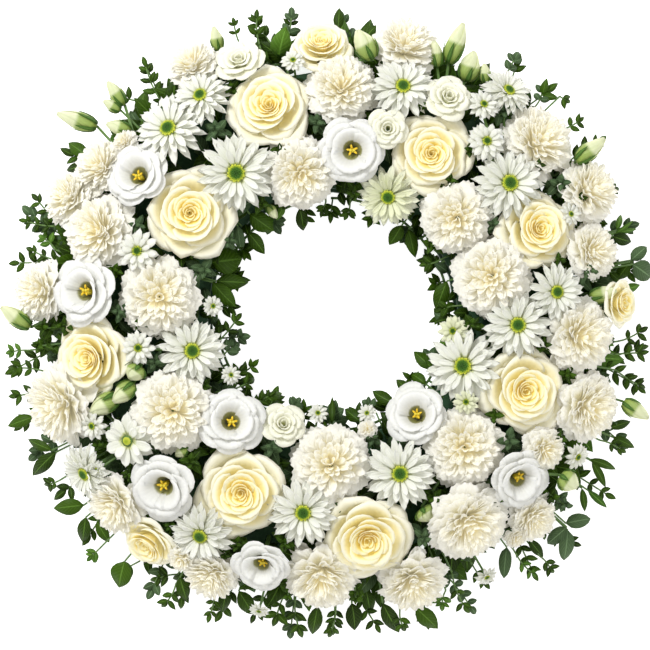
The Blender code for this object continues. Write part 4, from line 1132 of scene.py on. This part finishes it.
def put(shader, values):
    """Set constants on a shader's own sockets."""
    for socket, value in values.items():
        shader.inputs[socket].default_value = value


def petal_material(name, band, roots, lips, shade, ribs, roughness, soft, painted_glow):
    """A petal coloured from root to lip and from the outer whorl to the heart, with tone and fine ribs.

    band: where along the petal its root's colour ends, and over what length it blends into the lip's.
    roots, lips: colours by how deep in the head the petal grows. glow: colour, outer and inner strength of a
    painted glow, an emission that lights the petal from within, stronger deeper in the head.
    """
    material, tree, shader = fresh_material(name)
    if tree is None:
        return material
    across, along, tone, depth = marks(tree)
    lip = ramp(tree, depth, lips)
    root = ramp(tree, depth, roots)
    start, width = band
    steps = ((0.0, 0.0), (start, 0.1), (start + width, 0.88), (1.0, 1.0))
    stops = [(place, (level, level, level)) for place, level in steps]
    colour = mixed(tree, "MIX", ramp(tree, along, stops), root, lip)
    patches = noise(tree, 90.0)
    weight = calc(tree, "MULTIPLY_ADD", patches, 0.5, calc(tree, "MULTIPLY", tone, 0.5))
    colour = mixed(tree, "MULTIPLY", calc(tree, "MULTIPLY", weight, 0.6), colour, shade)
    waves = calc(tree, "SINE", calc(tree, "MULTIPLY", across, ribs))
    faint = calc(tree, "MULTIPLY", calc(tree, "MULTIPLY_ADD", waves, 0.5, 0.5), 0.22)
    colour = mixed(tree, "MULTIPLY", faint, colour, shade)
    tree.links.new(colour, shader.inputs["Base Color"])
    # Painted light: the petal emits its own glow, faint on the outer whorl and stronger deep in the head, to
    # brighten the shade between petals.
    painted_glow_colour, outer, inner = painted_glow
    strength = calc(tree, "MULTIPLY_ADD", depth, inner - outer, outer)
    tree.links.new(strength, shader.inputs["Emission Strength"])
    put(shader, {
        "Roughness": roughness,
        "Specular IOR Level": 0.3,
        "Subsurface Weight": soft,
        "Subsurface Radius": (1.0, 0.9, 0.65),
        "Subsurface Scale": 4 * MM,
        "Emission Color": (*painted_glow_colour, 1),
        "Sheen Weight": 0.05,
    })
    height = calc(tree, "MULTIPLY_ADD", noise(tree, 900.0, 2.0), 0.6, calc(tree, "MULTIPLY", waves, 0.35))
    bumped(tree, shader, height, 0.25 * MM, 0.6)
    return material


def leaf_material(name, colour, light, roughness):
    """A leaf with a paler midrib and side veins, and blotches of tone."""
    material, tree, shader = fresh_material(name)
    if tree is None:
        return material
    across, along, tone, _ = marks(tree)
    base = mixed(tree, "MIX", tone, colour, light)
    base = mixed(tree, "MULTIPLY", calc(tree, "MULTIPLY", noise(tree, 120.0), 0.6), base, (0.55, 0.65, 0.5))
    middle = calc(tree, "ABSOLUTE", calc(tree, "SUBTRACT", across, 0.5))
    rib = calc(tree, "LESS_THAN", middle, 0.035)
    slant = calc(tree, "MULTIPLY_ADD", along, 46.0, calc(tree, "MULTIPLY", middle, -30.0))
    veins = calc(tree, "POWER", calc(tree, "MULTIPLY_ADD", calc(tree, "SINE", slant), 0.5, 0.5), 6.0)
    pale = calc(tree, "MAXIMUM", calc(tree, "MULTIPLY", rib, 0.55), calc(tree, "MULTIPLY", veins, 0.16))
    base = mixed(tree, "MIX", pale, base, tuple(min(1, 2.2 * c + 0.03) for c in light))
    tree.links.new(base, shader.inputs["Base Color"])
    put(shader, {"Roughness": roughness, "Specular IOR Level": 0.15})
    height = calc(tree, "MULTIPLY_ADD", noise(tree, 600.0, 2.0), 0.3, calc(tree, "MULTIPLY", veins, -0.7))
    bumped(tree, shader, height, 0.4 * MM, 0.7)
    return material


def plain_material(name, colour, other, scale, roughness, bump):
    """A surface with soft patches between two colours and a fine grain."""
    material, tree, shader = fresh_material(name)
    if tree is None:
        return material
    tone = marks(tree)[2]
    patches = calc(tree, "MULTIPLY_ADD", noise(tree, scale), 0.5, calc(tree, "MULTIPLY", tone, 0.5))
    tree.links.new(mixed(tree, "MIX", patches, colour, other), shader.inputs["Base Color"])
    put(shader, {"Roughness": roughness})
    bumped(tree, shader, noise(tree, scale * 6), bump, 0.8)
    return material


def eye_material():
    """Florets: dark green in the middle, yellow-green round it."""
    material, tree, shader = fresh_material("daisy_eye")
    if tree is None:
        return material
    tone = marks(tree)[2]
    stops = ((0.0, (0.03, 0.11, 0.004)), (0.62, (0.05, 0.16, 0.006)), (0.80, (0.36, 0.46, 0.015)),
             (1.0, (0.66, 0.68, 0.07)))
    tree.links.new(ramp(tree, tone, stops), shader.inputs["Base Color"])
    put(shader, {"Roughness": 0.55})
    bumped(tree, shader, noise(tree, 1500.0), 0.2 * MM, 0.6)
    return material


def finishes():
    """The materials of the petals, leaves, stems and eyes, by their names."""
    look = looks()
    heart, dark, grey = tuple(look.rose_heart_and_shade), tuple(look.dark_leaf_colour), tuple(look.grey_leaf_colour)
    # Every petal material lights itself with a painted glow, an emission that is stronger deeper in the head.
    made = (
        petal_material(
            "rose_petal", band=(0.74, 0.16),
            # The roots' and inner petals' deep yellow is partly the roses' own colour and partly painted
            # shade in the crevices of the cup.
            roots=((0.0, (0.95, 0.92, 0.72)), (0.45, (0.96, 0.84, 0.38)), (0.65, heart), (1.0, heart)),
            lips=((0.0, tuple(look.rose_colour)), (0.4, (0.97, 0.95, 0.80)), (0.7, (0.975, 0.92, 0.64)),
                  (1.0, (0.98, 0.88, 0.46))),
            shade=(0.98, 0.965, 0.89), ribs=60.0, roughness=0.50, soft=0.15,
            painted_glow=((1.0, 0.88, 0.42), 0.04, 0.10),
        ),
        petal_material(
            "carnation_petal", band=(0.58, 0.20),
            # The darker, warmer roots are partly the carnations' own cream and partly painted shade between
            # the packed petals.
            roots=((0.0, (0.86, 0.84, 0.70)), (0.6, (0.93, 0.86, 0.58)), (1.0, (0.94, 0.83, 0.44))),
            lips=((0.0, tuple(look.carnation_colour)), (0.5, (0.955, 0.94, 0.87)),
                  (1.0, (0.98, 0.955, 0.83))),
            shade=(0.93, 0.92, 0.86), ribs=46.0, roughness=0.60, soft=0.12,
            painted_glow=((1.0, 0.94, 0.76), 0.02, 0.15),
        ),
        petal_material(
            "lisianthus_petal", band=(0.34, 0.10),
            roots=((0.0, (0.20, 0.20, 0.003)), (0.3, (0.78, 0.80, 0.36)), (1.0, (0.78, 0.80, 0.42))),
            lips=((0.0, tuple(look.lisianthus_colour)), (0.3, (0.95, 0.94, 0.80)), (1.0, (0.92, 0.92, 0.72))),
            shade=(0.93, 0.94, 0.92), ribs=70.0, roughness=0.45, soft=0.15,
            painted_glow=((0.62, 0.62, 0.46), 0.03, 0.06),
        ),
        petal_material(
            "daisy_petal", band=(0.12, 0.14),
            roots=((0.0, (0.70, 0.74, 0.30)), (1.0, (0.66, 0.72, 0.34))),
            lips=((0.0, tuple(look.daisy_colour)), (0.5, (0.88, 0.88, 0.82)), (0.75, (0.88, 0.89, 0.74)),
                  (1.0, (0.84, 0.86, 0.60))),
            shade=(0.86, 0.88, 0.82), ribs=25.2, roughness=0.50, soft=0.15,
            painted_glow=((0.66, 0.68, 0.54), 0.03, 0.03),
        ),
        petal_material(
            "bud_petal", band=(0.45, 0.14),
            roots=((0.0, (0.30, 0.42, 0.08)), (1.0, (0.30, 0.42, 0.08))),
            lips=((0.0, (0.86, 0.88, 0.60)), (1.0, (0.88, 0.90, 0.66))),
            shade=(0.88, 0.93, 0.76), ribs=50.0, roughness=0.45, soft=0.2,
            painted_glow=((0.30, 0.36, 0.12), 0.04, 0.04),
        ),
        leaf_material("sepal", (0.045, 0.12, 0.02), (0.11, 0.22, 0.04), 0.5),
        leaf_material("dark_leaf", dark, tuple(2.9 * c for c in dark), 0.42),
        leaf_material("grey_leaf", grey, tuple(1.5 * c for c in grey), 0.55),
        leaf_material("fresh_leaf", (0.05, 0.13, 0.012), (0.12, 0.25, 0.03), 0.42),
        plain_material("stem", (0.06, 0.15, 0.03), (0.16, 0.27, 0.07), 60.0, 0.5, 0.2 * MM),
        eye_material(),
        plain_material("anther", (0.80, 0.50, 0.015), (0.90, 0.66, 0.03), 300.0, 0.6, 0.2 * MM),
        plain_material("pistil", (0.60, 0.48, 0.03), (0.82, 0.66, 0.05), 200.0, 0.5, 0.2 * MM),
    )
    return {material.name: material for material in made}


# Operators
def collars(group, sprigs, sectors, start, outward):
    """All sectors of the outer or the inner collar."""
    made = finishes()
    width = math.tau / sectors
    for sector in range(sectors):
        collar("%s_%02d" % (group, sector + 1), sprigs, start + sector * width, width, outward, made)


class FlowerGroup:
    """What the operators of one kind of flower share."""

    kind = ""

    def execute(self, context):
        made = finishes()
        for node in FLOWERS:
            if node.startswith(self.kind):
                flower_node(node, FLOWERS[node], [node], self.kind + "_petals", made)
        return {"FINISHED"}


class WREATH_OT_roses(FlowerGroup, bpy.types.Operator):
    """Build the roses with their spiral of petals"""

    bl_idname = "wreath.roses"
    bl_label = "Roses"
    kind = "rose"


class WREATH_OT_lisianthus(FlowerGroup, bpy.types.Operator):
    """Build the lisianthus with their throats, stamens and buds"""

    bl_idname = "wreath.lisianthus"
    bl_label = "Lisianthus"
    kind = "lisianthus"


class WREATH_OT_carnations(FlowerGroup, bpy.types.Operator):
    """Build the frilled carnations"""

    bl_idname = "wreath.carnations"
    bl_label = "Carnations"
    kind = "carnation"


class WREATH_OT_daisies(FlowerGroup, bpy.types.Operator):
    """Build the daisy chrysanthemums with their green eyes"""

    bl_idname = "wreath.daisies"
    bl_label = "Daisies"
    kind = "daisy"


class WREATH_OT_outer_leaves(bpy.types.Operator):
    """Build the leafy collar round the wreath's outer edge"""

    bl_idname = "wreath.outer_leaves"
    bl_label = "Outer leaves"

    def execute(self, context):
        collars("greenery_outer", OUTER_SPRIGS, OUTER_SECTORS, OUTER_SECTOR_START, True)
        return {"FINISHED"}


class WREATH_OT_inner_leaves(bpy.types.Operator):
    """Build the leaves that hang into the hole"""

    bl_idname = "wreath.inner_leaves"
    bl_label = "Inner leaves"

    def execute(self, context):
        collars("greenery_inner", INNER_SPRIGS, INNER_SECTORS, INNER_SECTOR_START, False)
        return {"FINISHED"}


class WREATH_OT_small_blooms(bpy.types.Operator):
    """Build the small flowers and buds between the large ones"""

    bl_idname = "wreath.small_blooms"
    bl_label = "Small blooms"

    def execute(self, context):
        made = finishes()
        for name, heads in FILLERS.items():
            flower_node(name, heads, [], "daisy_petals", made)
        return {"FINISHED"}


class WREATH_OT_shown_leaves(bpy.types.Operator):
    """Build the large leaves, sprays and rosettes that stand out between and round the flowers"""

    bl_idname = "wreath.shown_leaves"
    bl_label = "Leaf sprays"

    def execute(self, context):
        shown_leaves(finishes())
        return {"FINISHED"}


class WREATH_OT_filler_leaves(bpy.types.Operator):
    """Build the leaves between the flowers"""

    bl_idname = "wreath.filler_leaves"
    bl_label = "Filler leaves"

    def execute(self, context):
        filler_leaves(finishes())
        return {"FINISHED"}


class WREATH_OT_base(bpy.types.Operator):
    """Finish the foam ring and the tray"""

    bl_idname = "wreath.base"
    bl_label = "Foam and tray"

    def execute(self, context):
        foam = plain_material("wet_foam", (0.012, 0.045, 0.018), (0.03, 0.09, 0.035), 60.0, 0.95, 0.8 * MM)
        plastic = plain_material("tray_plastic", (0.02, 0.07, 0.03), (0.028, 0.09, 0.04), 20.0, 0.4, 0.1 * MM)
        for node, material in (("foam_ring", foam), ("tray", plastic)):
            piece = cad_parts[node]
            piece.data.materials.clear()
            piece.data.materials.append(material)
        return {"FINISHED"}


# In metres
FLOOR_HALF_SIZE = 6
# The floor lies this far under the tray, so that the two faces don't flicker
FLOOR_GAP = 0.3 * MM
# The camera's, in millimetres
SENSOR_WIDTH = 36
# Lamps: name, place in metres, size in metres and power in watts
LAMPS = (
    ("key_light", (-0.9, 1.1, 1.7), 0.5, 28),
    ("fill_light", (1.1, -0.7, 1.6), 1.4, 6),
)


class WREATH_OT_stage(bpy.types.Operator):
    """Build the pale floor, the soft light and the camera"""

    bl_idname = "wreath.stage"
    bl_label = "Stage"

    def execute(self, context):
        scene = context.scene
        bm = bmesh.new()
        bmesh.ops.create_grid(bm, x_segments=1, y_segments=1, size=FLOOR_HALF_SIZE)
        bmesh.ops.translate(bm, verts=bm.verts, vec=(0, 0, -FLOOR_GAP))
        mesh = bpy.data.meshes.new("floor")
        bm.to_mesh(mesh)
        bm.free()
        floor = bpy.data.objects.new("floor", mesh)
        scene.collection.objects.link(floor)
        material = bpy.data.materials.new("pale_floor")
        material.use_nodes = True
        shader = material.node_tree.nodes["Principled BSDF"]
        put(shader, {
            "Base Color": (*looks().floor_colour, 1),
            "Roughness": 0.9,
            "Specular IOR Level": 0.1,
            "Emission Color": (1, 1, 1, 1),
            "Emission Strength": 0.8,
        })
        mesh.materials.append(material)
        world = bpy.data.worlds.new("soft_room")
        world.use_nodes = True
        put(world.node_tree.nodes["Background"], {"Color": (1, 0.985, 0.94, 1), "Strength": 0.67})
        scene.world = world
        for name, place, size, power in LAMPS:
            data = bpy.data.lights.new(name, "AREA")
            data.size = size
            data.energy = power
            light = bpy.data.objects.new(name, data)
            light.location = place
            light.rotation_euler = (-Vector(place)).to_track_quat("-Z", "Y").to_euler()
            scene.collection.objects.link(light)
        data = bpy.data.cameras.new("camera")
        data.sensor_width = SENSOR_WIDTH
        data.lens = SENSOR_WIDTH * (VIEW_HEIGHT - FACE_LEVEL) / (PICTURE_WIDTH * PIXEL)
        data.clip_start = 0.1
        data.clip_end = 50
        camera = bpy.data.objects.new("camera", data)
        aside = (PICTURE_CENTRE[0] - PLAN_CENTRE[0]) * PIXEL
        ahead = (PLAN_CENTRE[1] - PICTURE_CENTRE[1]) * PIXEL
        camera.location = RING_MIDDLE + Vector((aside, ahead, VIEW_HEIGHT))
        scene.collection.objects.link(camera)
        scene.camera = camera
        scene.view_settings.view_transform = "Standard"
        return {"FINISHED"}


class WREATH_PT_panel(bpy.types.Panel):
    """Lists the wreath's settings and its parts"""

    bl_idname = "WREATH_PT_panel"
    bl_label = "Wreath"
    bl_space_type = "VIEW_3D"
    bl_region_type = "UI"
    bl_category = "Wreath"

    def draw(self, context):
        column = self.layout.column()
        for name in WreathLooks.__annotations__:
            column.prop(context.scene.wreath_looks, name)
        for cls in CLASSES:
            if issubclass(cls, bpy.types.Operator):
                column.operator(cls.bl_idname)


CLASSES = (
    WreathLooks,
    WREATH_OT_base,
    WREATH_OT_roses,
    WREATH_OT_lisianthus,
    WREATH_OT_carnations,
    WREATH_OT_daisies,
    WREATH_OT_outer_leaves,
    WREATH_OT_inner_leaves,
    WREATH_OT_small_blooms,
    WREATH_OT_shown_leaves,
    WREATH_OT_filler_leaves,
    WREATH_OT_stage,
    WREATH_PT_panel,
)


def register():
    for cls in CLASSES:
        bpy.utils.register_class(cls)
    bpy.types.Scene.wreath_looks = PointerProperty(type=WreathLooks)


def unregister():
    del bpy.types.Scene.wreath_looks
    for cls in reversed(CLASSES):
        bpy.utils.unregister_class(cls)


def main():
    register()
    bpy.ops.wreath.base()
    bpy.ops.wreath.roses()
    bpy.ops.wreath.lisianthus()
    bpy.ops.wreath.carnations()
    bpy.ops.wreath.daisies()
    bpy.ops.wreath.outer_leaves()
    bpy.ops.wreath.inner_leaves()
    bpy.ops.wreath.small_blooms()
    bpy.ops.wreath.shown_leaves()
    bpy.ops.wreath.filler_leaves()
    bpy.ops.wreath.stage()
    bpy.context.view_layer.update()


if __name__ == "__main__":
    main()
